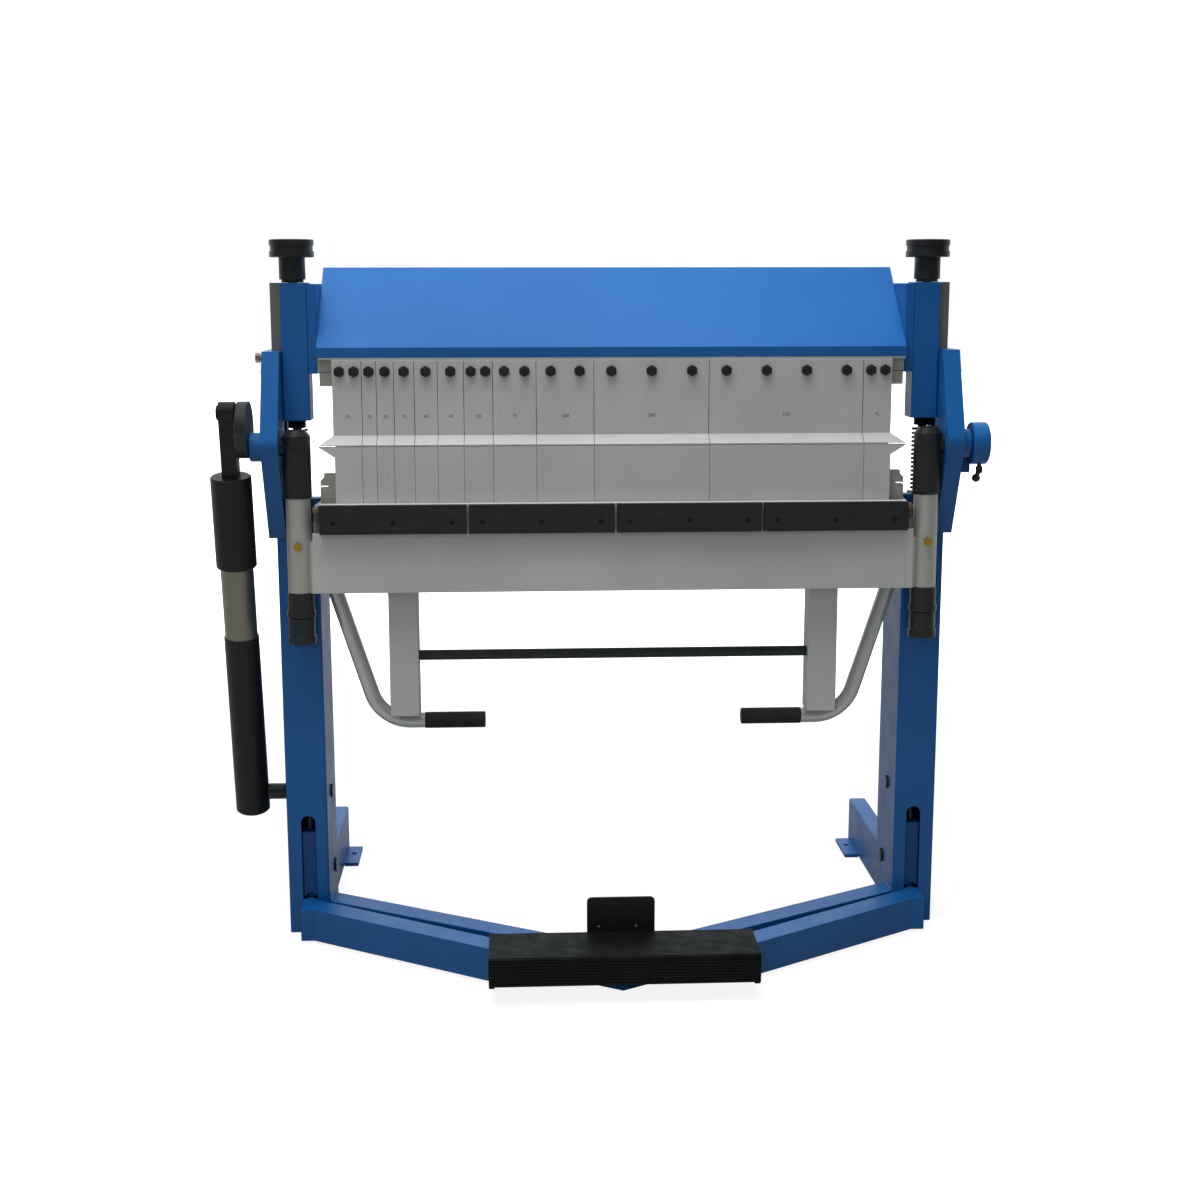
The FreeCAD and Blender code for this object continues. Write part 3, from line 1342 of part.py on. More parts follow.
def handle_path(stop_x):
    """Slanting run from the beam, one bend and the level run as far as a given x."""
    y = handle_middle()
    top = Vector(HANDLE_TOP_X, y, BEAM_BOTTOM)
    corner = Vector(HANDLE_BEND_X, y, HANDLE_BEND_Z)
    end = Vector(stop_x, y, HANDLE_BEND_Z)
    up = (top - corner).normalize()
    inward = (end - corner).normalize()
    half_turn = up.getAngle(inward) / 2
    cut = HANDLE_BEND_R / math.tan(half_turn)
    start = corner + up * cut
    finish = corner + inward * cut
    bisector = (up + inward).normalize()
    centre = corner + bisector * (HANDLE_BEND_R / math.sin(half_turn))
    middle = centre - bisector * HANDLE_BEND_R
    bend = Part.Arc(start, middle, finish).toShape()
    return Part.Wire([Part.makeLine(top, start), bend, Part.makeLine(finish, end)])


def swept(path, radius):
    """Round bar along a path."""
    start = path.Edges[0].Vertexes[0].Point
    heading = path.Edges[0].tangentAt(path.Edges[0].FirstParameter)
    circle = Part.Wire([Part.makeCircle(radius, start, heading)])
    return path.makePipeShell([circle], True, False)


def handles():
    """Bent tubes under the beam, cut level where they meet it."""
    bar = swept(handle_path(GRIP_IN + GRIP_END), HANDLE_R)
    above = box(0, POST_IN, LEG_FRONT, LEG_FRONT + LEG_DEEP, BEAM_BOTTOM, BEAM_BOTTOM + LEG_DEEP)
    return both_sides(bar.cut(above))


def grips():
    """Rubber grips over the level ends of the handles."""
    y = handle_middle()
    z = HANDLE_BEND_Z
    outer = bar_between(Vector(GRIP_IN, y, z), Vector(GRIP_OUT, y, z), GRIP_R)
    rims = [edge for edge in outer.Edges if edge.Closed]
    outer = outer.makeFillet(GRIP_EDGE_R, rims)
    inner = bar_between(Vector(GRIP_IN + GRIP_END, y, z), Vector(GRIP_OUT, y, z), HANDLE_R)
    return both_sides(outer.cut(inner))


def beam_legs():
    """Square tubes under the beam that stand on the handles, their side walls fitted to the bend."""
    foot = HANDLE_BEND_Z
    y0 = LEG_FRONT
    y1 = LEG_FRONT + LEG_DEEP
    outer = box(LEG_IN, LEG_IN + LEG_WIDE, y0, y1, foot, BEAM_BOTTOM)
    w = LEG_WALL
    inner = box(LEG_IN + w, LEG_IN + LEG_WIDE - w, y0 + w, y1 - w, foot, BEAM_BOTTOM)
    path = handle_path(GRIP_IN)
    start = path.Edges[0].Vertexes[0].Point
    heading = path.Edges[0].tangentAt(path.Edges[0].FirstParameter)
    level = Vector(0, LEG_DEEP, 0)
    reach = heading.cross(Vector(0, 1, 0)) * (HANDLE_R - LEG_SADDLE)
    corners = [start + level + reach, start + level - reach, start - level - reach, start - level + reach]
    room = path.makePipeShell([Part.makePolygon(corners + [corners[0]])], True, False)
    return both_sides(outer.cut(inner).cut(room).cut(swept(path, HANDLE_R)))


def cross_rod():
    """Rod between the two legs."""
    y = handle_middle()
    return [bar_between(Vector(-LEG_IN, y, CROSS_ROD_Z), Vector(LEG_IN, y, CROSS_ROD_Z), CROSS_ROD_R)]


def lock_bolts():
    """Bolts that lock the tubes on their spindles."""
    face = Vector(TUBE_X, -TUBE_R - LOCK_HEAD, LOCK_Z)
    head = hex_along(face, Vector(TUBE_X, -TUBE_R, LOCK_Z), LOCK_FLATS)
    end = Vector(TUBE_X, -SPINDLE_R - RUN_FIT, LOCK_Z)
    shank = bar_between(Vector(TUBE_X, -TUBE_R, LOCK_Z), end, LOCK_R)
    return both_sides(fuse_all([head, shank]))


def height_nuts():
    """Adjusting nut and lock nut on the right spindle, each with a flange below."""
    nuts = []
    z = BEAM_BOTTOM - SEAT_GAP
    for body, flange in NUT_HEIGHTS:
        bore = SPINDLE_R + RUN_FIT
        low = z - body
        foot = low - flange + SEAT_GAP
        profile = [
            (bore, z),
            (NUT_R - NUT_CHAMFER, z),
            (NUT_R, z - NUT_CHAMFER),
            (NUT_R, low),
            (NUT_FLANGE_R - NUT_EDGE, low),
            (NUT_FLANGE_R, low - NUT_EDGE),
            (NUT_FLANGE_R, foot + NUT_EDGE),
            (NUT_FLANGE_R - NUT_EDGE, foot),
            (bore, foot),
        ]
        nuts.append(turned_z(profile, TUBE_X, 0))
        z = foot
    return nuts


# Counterbalance strut

def strut_frame():
    """Foot of the strut and its direction, towards the crank pin."""
    foot = Vector(-STRUT_X, STRUT_FOOT_Y, STRUT_FOOT_Z)
    pin = Vector(-STRUT_X, CRANK_PIN_Y, CRANK_PIN_Z)
    return foot, (pin - foot).normalize()


def strut_turned(profile):
    """Solid turned about the strut's axis from (radius, distance from the foot) points."""
    foot, heading = strut_frame()
    side = Vector(1, 0, 0)
    face = face_through([foot + side * radius + heading * reach for radius, reach in profile])
    return face.revolve(foot, heading, 360)


def strut_tube():
    """Lower tube of the strut with a domed end and a solid eye for its pin."""
    r = STRUT_LOWER_R
    tail = -STRUT_TAIL
    profile = [
        (0, tail - STRUT_DOME),
        (r * 0.5, tail - STRUT_DOME * 0.85),
        (r * 0.87, tail - STRUT_DOME * 0.45),
        (r, tail),
        (r, STRUT_LOWER_TOP),
        (STRUT_BORE_R + STRUT_LINER_FIT, STRUT_LOWER_TOP),
        (STRUT_BORE_R + STRUT_LINER_FIT, STRUT_BLOCK),
        (0, STRUT_BLOCK),
    ]
    foot, heading = strut_frame()
    across = Vector(2 * r, 0, 0)
    pin = bar_between(foot - across, foot + across, STUB_PIN_R + RUN_FIT)
    return [strut_turned(profile).cut(pin)]


def strut_liner():
    """Bright steel tube that stands in the lower tube."""
    profile = [
        (STRUT_BORE_R, STRUT_LOWER_TOP - STRUT_SPIGOT),
        (STRUT_BORE_R + STRUT_LINER_FIT, STRUT_LOWER_TOP - STRUT_SPIGOT),
        (STRUT_BORE_R + STRUT_LINER_FIT, STRUT_LOWER_TOP),
        (STRUT_STEEL_R, STRUT_LOWER_TOP),
        (STRUT_STEEL_R, STRUT_STEEL_TOP),
        (STRUT_BORE_R, STRUT_STEEL_TOP),
    ]
    return [strut_turned(profile)]


def strut_sleeve():
    """Upper sleeve of the strut, which slides down over the steel tube."""
    r = STRUT_SLEEVE_R
    profile = [
        (STRUT_STEEL_R + RUN_FIT, STRUT_SLEEVE_BOTTOM),
        (r - STRUT_EDGE, STRUT_SLEEVE_BOTTOM),
        (r, STRUT_SLEEVE_BOTTOM + STRUT_EDGE),
        (r, STRUT_SLEEVE_TOP - STRUT_EDGE),
        (r - STRUT_EDGE, STRUT_SLEEVE_TOP),
        (0, STRUT_SLEEVE_TOP),
        (0, STRUT_SLEEVE_TOP - STRUT_CAP),
        (STRUT_STEEL_R + RUN_FIT, STRUT_SLEEVE_TOP - STRUT_CAP),
    ]
    return [strut_turned(profile)]


def eye_faces():
    """Inner and outer x of the strut's eye bar."""
    inner = -(CHEEK_OUT + HUB_LEFT + CRANK_THICK + EYE_GAP)
    return inner, inner - EYE_THICK


def strut_eye():
    """Eye bar from the sleeve to the crank pin."""
    foot, heading = strut_frame()
    inner, outer = eye_faces()
    across = heading.cross(Vector(1, 0, 0)) * EYE_HALF_WIDE
    base = foot + heading * STRUT_SLEEVE_TOP
    top = foot + heading * STRUT_LENGTH
    corners = [base - across, base + across, top + across, top - across]
    bar = face_through([Vector(outer, p.y, p.z) for p in corners]).extrude(Vector(inner - outer, 0, 0))
    end = bar_between(Vector(outer, top.y, top.z), Vector(inner, top.y, top.z), EYE_R)
    hole = bar_between(Vector(outer, top.y, top.z), Vector(inner, top.y, top.z), EYE_PIN_R)
    return [fuse_all([bar, end]).cut(hole)]


def crank_bolt():
    """Bolt through the strut's eye, which ends just short of the crank."""
    foot, heading = strut_frame()
    inner, outer = eye_faces()
    pin = foot + heading * STRUT_LENGTH
    end = -(CHEEK_OUT + HUB_LEFT + CRANK_THICK + SEAT_GAP)
    shank = bar_between(Vector(outer, pin.y, pin.z), Vector(end, pin.y, pin.z), EYE_PIN_R)
    seat = Vector(outer, pin.y, pin.z)
    head = hex_along(seat - Vector(EYE_BOLT_HEAD, 0, 0), seat, EYE_BOLT_FLATS)
    return [fuse_all([shank, head])]


def strut_stub():
    """Stub on the left post that the strut's foot turns on."""
    x0 = -POST_OUT
    x1 = -(STRUT_X - STRUT_LOWER_R - SEAT_GAP)
    y = STRUT_FOOT_Y
    z = STRUT_FOOT_Z
    cone = Part.makeCone(STUB_FLANGE_R, STUB_R, STUB_FLANGE, Vector(x0, y, z), Vector(-1, 0, 0))
    body = bar_between(Vector(x0, y, z), Vector(x1, y, z), STUB_R)
    end = Vector(-STRUT_X - STRUT_LOWER_R + STUB_PIN_SHORT, y, z)
    pin = bar_between(Vector(x0 + POST_WALL, y, z), end, STUB_PIN_R)
    return [fuse_all([body, cone, pin])]


NODES = {
    "left_post": left_post,
    "right_post": lambda: [post()],
    "rear_feet": rear_feet,
    "anchor_tabs": anchor_tabs,
    "tie_bar": tie_bar,
    "post_caps": post_caps,
    "left_side_plate": lambda: [mirrored(side_plate())],
    "right_side_plate": lambda: [side_plate()],
    "plate_screws": plate_screws,
    "pivot_hubs": pivot_hubs,
    "stop_lug": stop_lug,
    "bed": bed,
    "table_plate": table_plate,
    "lower_rail": lower_rail,
    "lower_wedge": lower_wedge,
    "lower_blades": lower_blades,
    "pedal_pivot_pins": pivot_pins,
    "rod_guides": rod_guides,
    "guide_bolts": guide_bolts,
    "strut_stub": strut_stub,
    "hinge_ears": hinge_ears,
    "clamp_springs": clamp_springs,
    "upper_beam": upper_beam,
    "packing_strip": packing_strip,
    "upper_bar": upper_bar,
    "lower_bar": lower_bar,
    "upper_blades": upper_blades,
    "blade_bolts": blade_bolts,
    "end_brackets": end_brackets,
    "slide_blocks": slide_blocks,
    "wear_plates": wear_plates,
    "pull_rods": pull_rods,
    "rod_yokes": rod_yokes,
    "link_pins": link_pins,
    "left_knob": lambda: [mirrored(knob())],
    "right_knob": lambda: [knob()],
    "pedal_levers": pedal_levers,
    "pedal_arms": pedal_arms,
    "tread_plate": tread_plate,
    "release_plate": release_plate,
    "pivot_sleeves": pivot_sleeves,
    "pivot_shafts": pivot_shafts,
    "height_spindles": height_spindles,
    "crank_disc": crank_disc,
    "stop_collar": stop_collar,
    "stop_screw": stop_screw,
    "bending_beam": bending_beam,
    "beam_legs": beam_legs,
    "cross_rod": cross_rod,
    "handles": handles,
    "grips": grips,
    "folding_strips": folding_strips,
    "strip_screws": strip_screws,
    "lock_bolts": lock_bolts,
    "end_bolts": end_bolts,
    "left_height_nuts": lambda: [mirrored(nut) for nut in height_nuts()],
    "right_height_nuts": height_nuts,
    "strut_tube": strut_tube,
    "strut_liner": strut_liner,
    "strut_upper": lambda: strut_sleeve() + strut_eye() + crank_bolt(),
}


def save(name, pieces):
    """Move the pieces from the bend line to the floor and write them as one node."""
    solids = []
    for piece in pieces:
        for solid in piece.Solids:
            if not solid.isValid() or solid.Volume <= 0:
                raise ValueError("bad solid in " + name)
            solids.append(solid)
    if len(solids) != len(pieces):
        raise ValueError("%s has %d solids for %d pieces" % (name, len(solids), len(pieces)))
    node = solids[0] if len(solids) == 1 else Part.makeCompound(solids)
    node.translate(Vector(0, -ANCHOR_Y, TOE_HEIGHT))
    node.exportStep("parts/" + name + ".step")
    print("%-18s %2d solids %9.0f mm3" % (name, len(solids), node.Volume))


os.makedirs("parts", exist_ok=True)
for node_name, build_node in NODES.items():
    save(node_name, build_node())
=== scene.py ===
import json
import logging
import math
from dataclasses import dataclass, field
from enum import Enum

import bpy
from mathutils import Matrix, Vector

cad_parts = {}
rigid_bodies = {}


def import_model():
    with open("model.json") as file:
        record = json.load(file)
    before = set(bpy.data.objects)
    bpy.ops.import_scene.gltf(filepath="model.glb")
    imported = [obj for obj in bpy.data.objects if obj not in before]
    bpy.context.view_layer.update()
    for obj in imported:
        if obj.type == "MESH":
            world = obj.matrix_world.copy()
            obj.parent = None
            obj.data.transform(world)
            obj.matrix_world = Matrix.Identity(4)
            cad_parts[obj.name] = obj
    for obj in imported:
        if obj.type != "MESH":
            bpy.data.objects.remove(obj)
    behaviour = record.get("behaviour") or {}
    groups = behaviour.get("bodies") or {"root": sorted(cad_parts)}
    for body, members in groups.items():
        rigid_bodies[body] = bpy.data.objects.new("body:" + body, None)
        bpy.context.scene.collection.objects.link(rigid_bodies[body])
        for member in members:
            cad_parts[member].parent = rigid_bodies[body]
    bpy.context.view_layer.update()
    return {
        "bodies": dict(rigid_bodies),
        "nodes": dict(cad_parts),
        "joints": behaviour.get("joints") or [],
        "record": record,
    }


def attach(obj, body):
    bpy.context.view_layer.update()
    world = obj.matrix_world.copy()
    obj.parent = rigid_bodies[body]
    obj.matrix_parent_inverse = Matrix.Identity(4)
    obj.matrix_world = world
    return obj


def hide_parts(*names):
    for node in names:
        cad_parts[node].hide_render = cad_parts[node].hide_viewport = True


log = logging.getLogger("folding_machine")

MM = 0.001
# The bend line, which the machine's sizes are measured from, in metres over the floor's middle.
BEND_Y = -0.460
BEND_Z = 0.892
# Left and right.
SIDES = (-1, 1)
# Quarter turn about X. It lays what stands upright along Y and stands flat lettering up.
QUARTER = (math.pi / 2, 0.0, 0.0)
# Points closer than this, in metres, are one point.
SAME_SPOT = 1e-6
# A face looks towards a side when its normal points there by this share or more.
FACING = 0.9
# The pull rods, which stand inside the springs, in millimetres from the middle and behind the bend line.
ROD_X = 553.0
ROD_Y = 70.0

Point = tuple[float, float, float]
Colour = tuple[float, float, float]
Profile = tuple[tuple[float, float], ...]
Socket = bpy.types.NodeSocket
Filling = Socket | float | Point


def place(x: float, y: float, z: float) -> Vector:
    """Turn millimetres about the bend line into metres on the floor.

    Args:
        x: Millimetres to the right of the machine's middle.
        y: Millimetres behind the bend line.
        z: Millimetres above the bend line.

    Returns:
        The point in metres.
    """
    return Vector((x * MM, BEND_Y + y * MM, BEND_Z + z * MM))


def level_ring(x: tuple[float, float], y: tuple[float, float], z: float) -> list[Vector]:
    """Corners of a level rectangle, one after the other.

    Args:
        x: Millimetres to the right of the machine's middle, of two opposite sides.
        y: Millimetres behind the bend line, of the front and the back side.
        z: Millimetres above the bend line.

    Returns:
        The four corners in metres.
    """
    return [place(x[0], y[0], z), place(x[1], y[0], z), place(x[1], y[1], z), place(x[0], y[1], z)]


def linear(text: str) -> Colour:
    """Turn a hexadecimal colour, as seen, into the linear colour a shader takes.

    Args:
        text: Six hexadecimal digits.

    Returns:
        Red, green and blue in linear light.
    """
    channels = []
    for start in (0, 2, 4):
        value = int(text[start:start + 2], 16) / 255
        channels.append(value / 12.92 if value <= 0.04045 else ((value + 0.055) / 1.055) ** 2.4)
    return (channels[0], channels[1], channels[2])


def shaded(colour: Colour, share: Colour, lift: Colour = (0.0, 0.0, 0.0)) -> Colour:
    """Scale a colour's channels, add to them and stop at full strength.

    Args:
        colour: The colour.
        share: Factor for red, green and blue.
        lift: What is added to red, green and blue.

    Returns:
        The new colour.
    """
    red, green, blue = (min(1.0, value * factor + more) for value, factor, more in zip(colour, share, lift))
    return (red, green, blue)


class Grain(Enum):
    """Direction of the fine lines that a finish leaves, as a stretch of its pattern."""

    ACROSS = (0.02, 1.0, 1.0)
    UPRIGHT = (1.0, 1.0, 0.03)
    NONE = (1.0, 1.0, 1.0)


class Sum(Enum):
    """What a number node works out."""

    SIZE = "ABSOLUTE"
    ABOVE = "GREATER_THAN"
    TIMES = "MULTIPLY"
    LARGER = "MAXIMUM"


@dataclass(frozen=True)
class Cloud:
    """Cloudy pattern: clouds in a metre, how fine its smaller clouds are, and the range of values that counts."""

    scale: float
    detail: float
    low: float = 0.3
    high: float = 0.7
    rough: float = 0.55


class NodeBench:
    """A node tree with short ways to add and join its nodes."""

    def __init__(self, tree: bpy.types.NodeTree) -> None:
        """Clear the tree and give it coordinates.

        Args:
            tree: The tree of a material or of the world.
        """
        self.tree = tree
        self.tree.nodes.clear()
        self.coordinates = self.tree.nodes.new("ShaderNodeTexCoord")

    def join(self, start: Socket, end: Socket) -> None:
        """Link one socket to another."""
        self.tree.links.new(start, end)

    def fill(self, node: bpy.types.Node, inputs: dict[str | int, Filling]) -> None:
        """Join or set the inputs of a node.

        Args:
            node: The node.
            inputs: A socket to join or a constant to set for each input, under its name or number.
        """
        for key, value in inputs.items():
            socket = node.inputs[key]
            if isinstance(value, Socket):
                self.join(value, socket)
            else:
                socket.default_value = (*value, 1.0) if socket.type == "RGBA" else value

    def add(self, kind: str, inputs: dict[str | int, Filling]) -> bpy.types.Node:
        """Add a node.

        Args:
            kind: The program's name for the node.
            inputs: A socket or a constant for each input, under its name or number.

        Returns:
            The node.
        """
        node = self.tree.nodes.new(kind)
        self.fill(node, inputs)
        return node

    def levels(self, value: Socket, low: float, high: float, out_low: float, out_high: float,
               smooth: bool = False) -> Socket:
        """Stretch a value from one range to another.

        Args:
            value: The socket to read.
            low: Value that becomes out_low.
            high: Value that becomes out_high.
            out_low: Result at the low end.
            out_high: Result at the high end.
            smooth: Whether the ends run out softly.

        Returns:
            The result socket.
        """
        ends = {"From Min": low, "From Max": high, "To Min": out_low, "To Max": out_high}
        node = self.add("ShaderNodeMapRange", {"Value": value, **ends})
        if smooth:
            node.interpolation_type = "SMOOTHSTEP"
        return node.outputs["Result"]

    def work_out(self, what: Sum, first: Socket, second: Socket | float = 0.0) -> Socket:
        """Work a number out of one or two others.

        Args:
            what: What is worked out.
            first: The first number.
            second: The second number, where there are two.

        Returns:
            The result socket.
        """
        node = self.add("ShaderNodeMath", {0: first, 1: second})
        node.operation = what.value
        return node.outputs[0]

    def along(self, vector: Socket, axis: str) -> Socket:
        """One axis of a vector."""
        return self.add("ShaderNodeSeparateXYZ", {"Vector": vector}).outputs[axis]

    def mixed(self, factor: Socket, first: bpy.types.Node, second: bpy.types.Node) -> bpy.types.Node:
        """Mix two shaders.

        Args:
            factor: 0 gives the first and 1 the second.
            first: Shader node.
            second: Shader node.

        Returns:
            The mixing node.
        """
        return self.add("ShaderNodeMixShader", {0: factor, 1: first.outputs[0], 2: second.outputs[0]})


class Sheet(NodeBench):
    """A material's node tree with the patterns that the finishes share."""

    edge_samples = 4

    def __init__(self, name: str) -> None:
        """Start an empty material with a shader and an output.

        Args:
            name: The material's name.
        """
        self.material = bpy.data.materials.new(name)
        self.material.use_nodes = True
        super().__init__(self.material.node_tree)
        self.shader = self.tree.nodes.new("ShaderNodeBsdfPrincipled")
        self.output = self.add("ShaderNodeOutputMaterial", {"Surface": self.shader.outputs["BSDF"]})

    def surface(self, inputs: dict[str | int, Filling]) -> bpy.types.Material:
        """Fill the shader's inputs and hand the material over.

        Args:
            inputs: A socket or a constant for each input, under its name.

        Returns:
            The finished material.
        """
        self.fill(self.shader, inputs)
        return self.material

    def noise(self, cloud: Cloud, grain: Grain = Grain.NONE) -> Socket:
        """Cloudy pattern.

        Args:
            cloud: The pattern.
            grain: Direction that it is drawn out in.

        Returns:
            The factor socket.
        """
        spread = self.add("ShaderNodeMapping", {"Vector": self.coordinates.outputs["Object"], "Scale": grain.value})
        shape = {"Scale": cloud.scale, "Detail": cloud.detail, "Roughness": cloud.rough}
        return self.add("ShaderNodeTexNoise", {"Vector": spread.outputs["Vector"], **shape}).outputs["Fac"]

    def clouded(self, cloud: Cloud, out_low: float, out_high: float) -> Socket:
        """Cloudy pattern whose range becomes another.

        Args:
            cloud: The pattern.
            out_low: Result at its low end.
            out_high: Result at its high end.

        Returns:
            The result socket.
        """
        return self.levels(self.noise(cloud), cloud.low, cloud.high, out_low, out_high)

    def blend(self, factor: Socket, first: Colour | Socket, second: Colour | Socket) -> Socket:
        """Mix two colours.

        Args:
            factor: 0 gives the first and 1 the second.
            first: Colour or socket.
            second: Colour or socket.

        Returns:
            The mixed colour socket.
        """
        node = self.tree.nodes.new("ShaderNodeMix")
        node.data_type = "RGBA"
        # Inputs 6 and 7 and output 2 are this node's colours.
        self.fill(node, {0: factor, 6: first, 7: second})
        return node.outputs[2]

    def relief(self, height: Socket, depth: float, strength: float, edge: float) -> Socket:
        """Bump from a height, laid on sharp edges that are rounded a little.

        Args:
            height: The height socket.
            depth: Real depth in metres.
            strength: Share of the bump that is used.
            edge: Radius of the edges in metres.

        Returns:
            The normal socket.
        """
        rounded = self.add("ShaderNodeBevel", {"Radius": edge})
        rounded.samples = self.edge_samples
        bump = {"Distance": depth, "Strength": strength, "Height": height, "Normal": rounded.outputs["Normal"]}
        return self.add("ShaderNodeBump", bump).outputs["Normal"]

    def beyond(self, reach: float) -> Socket:
        """Mask of what lies further out than a reach on the left or the right.

        Args:
            reach: Metres from the machine's middle.

        Returns:
            1 beyond the reach and 0 within it.
        """
        away = self.work_out(Sum.SIZE, self.along(self.coordinates.outputs["Object"], "X"))
        return self.work_out(Sum.ABOVE, away, reach)


@dataclass(frozen=True)
class MachinePaint:
    """Sprayed machine paint with orange peel, slow changes of tone, rubbed spots and, if asked, bare ends."""

    name: str
    colour: Colour
    rough: float = 0.3
    metal: float = 0.0
    coat: float = 0.25
    peel: float = 0.12
    edge: float = 0.0012
    gloss: float = 0.4
    dust: float = 0.03
    bare: float = 0.0
    bare_tone: Colour = linear("C4C5BF")
    bare_metal: float = 0.65
    powder: Colour = (0.35, 0.36, 0.37)
    thick: Colour = (0.88, 0.9, 0.92)
    thin: Colour = (1.1, 1.08, 1.06)
    thin_lift: Colour = (0.002, 0.0, 0.0)
    coat_rough: float = 0.14
    slow: Cloud = Cloud(3.0, 3.0)
    specks: Cloud = Cloud(60.0, 6.0, 0.6, 0.8)
    rubs: Cloud = Cloud(18.0, 5.0)
    rub_smooth: float = 0.05
    rub_rough: float = 0.07
    peel_grain: Cloud = Cloud(420.0, 2.0)
    peel_deep: float = 0.0004

    def make(self) -> bpy.types.Material:
        """Build the material.

        Returns:
            The finished material.
        """
        sheet = Sheet(self.name)
        deep = shaded(self.colour, self.thick)
        light = shaded(self.colour, self.thin, self.thin_lift)
        tone = sheet.blend(sheet.clouded(self.slow, 0.0, 1.0), deep, light)
        paint = sheet.blend(sheet.clouded(self.specks, 0.0, self.dust), tone, self.powder)
        metal: Filling = self.metal
        if self.bare:
            ends = sheet.beyond(self.bare)
            paint = sheet.blend(ends, paint, self.bare_tone)
            metal = sheet.levels(ends, 0.0, 1.0, self.metal, self.bare_metal)
        return sheet.surface({
            "Base Color": paint,
            "Metallic": metal,
            "Roughness": sheet.clouded(self.rubs, self.rough - self.rub_smooth, self.rough + self.rub_rough),
            "Coat Weight": self.coat,
            "Coat Roughness": self.coat_rough,
            "Specular IOR Level": self.gloss,
            "Normal": sheet.relief(sheet.noise(self.peel_grain), self.peel_deep, self.peel, self.edge),
        })


@dataclass(frozen=True)
class GroundSteel:
    """Ground bare steel with fine lines, faint stains and darker spots."""

    name: str
    colour: Colour
    grain: Grain = Grain.ACROSS
    rough: float = 0.42
    metal: float = 0.85
    stain: float = 0.5
    edge: float = 0.0005
    stained: Colour = (0.8, 0.8, 0.78)
    polished: Colour = (1.22, 1.22, 1.22)
    polish: float = 0.45
    polish_from: float = 0.35
    lines: Cloud = Cloud(900.0, 3.0)
    line_smooth: float = 0.06
    line_rough: float = 0.08
    line_deep: float = 0.0002
    line_bump: float = 0.1
    stains: Cloud = Cloud(7.0, 4.0, 0.35, 0.7)

    def make(self) -> bpy.types.Material:
        """Build the material.

        Returns:
            The finished material.
        """
        sheet = Sheet(self.name)
        lines = sheet.noise(self.lines, self.grain)
        low, high = self.lines.low, self.lines.high
        tone = sheet.blend(sheet.clouded(self.stains, 0.0, self.stain), self.colour, shaded(self.colour, self.stained))
        bright = sheet.levels(lines, self.polish_from, high, 0.0, self.polish)
        return sheet.surface({
            "Base Color": sheet.blend(bright, tone, shaded(self.colour, self.polished)),
            "Roughness": sheet.levels(lines, low, high, self.rough - self.line_smooth, self.rough + self.line_rough),
            "Metallic": self.metal,
            "Normal": sheet.relief(lines, self.line_deep, self.line_bump, self.edge),
        })


@dataclass(frozen=True)
class DarkSteel:
    """Blackened steel with an oily sheen and small grey rub marks."""

    name: str
    colour: Colour
    rough: float = 0.38
    metal: float = 0.6
    rubbed: float = 0.25
    edge: float = 0.0008
    gloss: float = 0.35
    rub: Colour = (3.0, 3.0, 3.0)
    rub_lift: Colour = (0.03, 0.03, 0.03)
    spots: Cloud = Cloud(60.0, 6.0, 0.58, 0.78)
    oil: Cloud = Cloud(25.0, 4.0)
    oil_smooth: float = 0.07
    oil_rough: float = 0.1
    skin: Cloud = Cloud(700.0, 3.0)
    skin_deep: float = 0.0002
    skin_bump: float = 0.15

    def make(self) -> bpy.types.Material:
        """Build the material.

        Returns:
            The finished material.
        """
        sheet = Sheet(self.name)
        bright = shaded(self.colour, self.rub, self.rub_lift)
        return sheet.surface({
            "Base Color": sheet.blend(sheet.clouded(self.spots, 0.0, self.rubbed), self.colour, bright),
            "Roughness": sheet.clouded(self.oil, self.rough - self.oil_smooth, self.rough + self.oil_rough),
            "Metallic": self.metal,
            "Specular IOR Level": self.gloss,
            "Normal": sheet.relief(sheet.noise(self.skin), self.skin_deep, self.skin_bump, self.edge),
        })


@dataclass(frozen=True)
class SoftRubber:
    """Black rubber or plastic with a fine skin and worn patches."""

    name: str
    colour: Colour
    rough: float = 0.6
    edge: float = 0.001
    gloss: float = 0.2
    wear: Colour = (2.2, 2.2, 2.2)
    wear_lift: Colour = (0.004, 0.004, 0.004)
    worn: float = 0.5
    patches: Cloud = Cloud(14.0, 6.0, 0.45, 0.75)
    sheen: Cloud = Cloud(40.0, 4.0)
    sheen_smooth: float = 0.08
    sheen_rough: float = 0.1
    skin: Cloud = Cloud(900.0, 2.0)
    skin_deep: float = 0.0003
    skin_bump: float = 0.2

    def make(self) -> bpy.types.Material:
        """Build the material.

        Returns:
            The finished material.
        """
        sheet = Sheet(self.name)
        faded = shaded(self.colour, self.wear, self.wear_lift)
        return sheet.surface({
            "Base Color": sheet.blend(sheet.clouded(self.patches, 0.0, self.worn), self.colour, faded),
            "Roughness": sheet.clouded(self.sheen, self.rough - self.sheen_smooth, self.rough + self.sheen_rough),
            "Specular IOR Level": self.gloss,
            "Normal": sheet.relief(sheet.noise(self.skin), self.skin_deep, self.skin_bump, self.edge),
        })


Finish = MachinePaint | GroundSteel | DarkSteel | SoftRubber


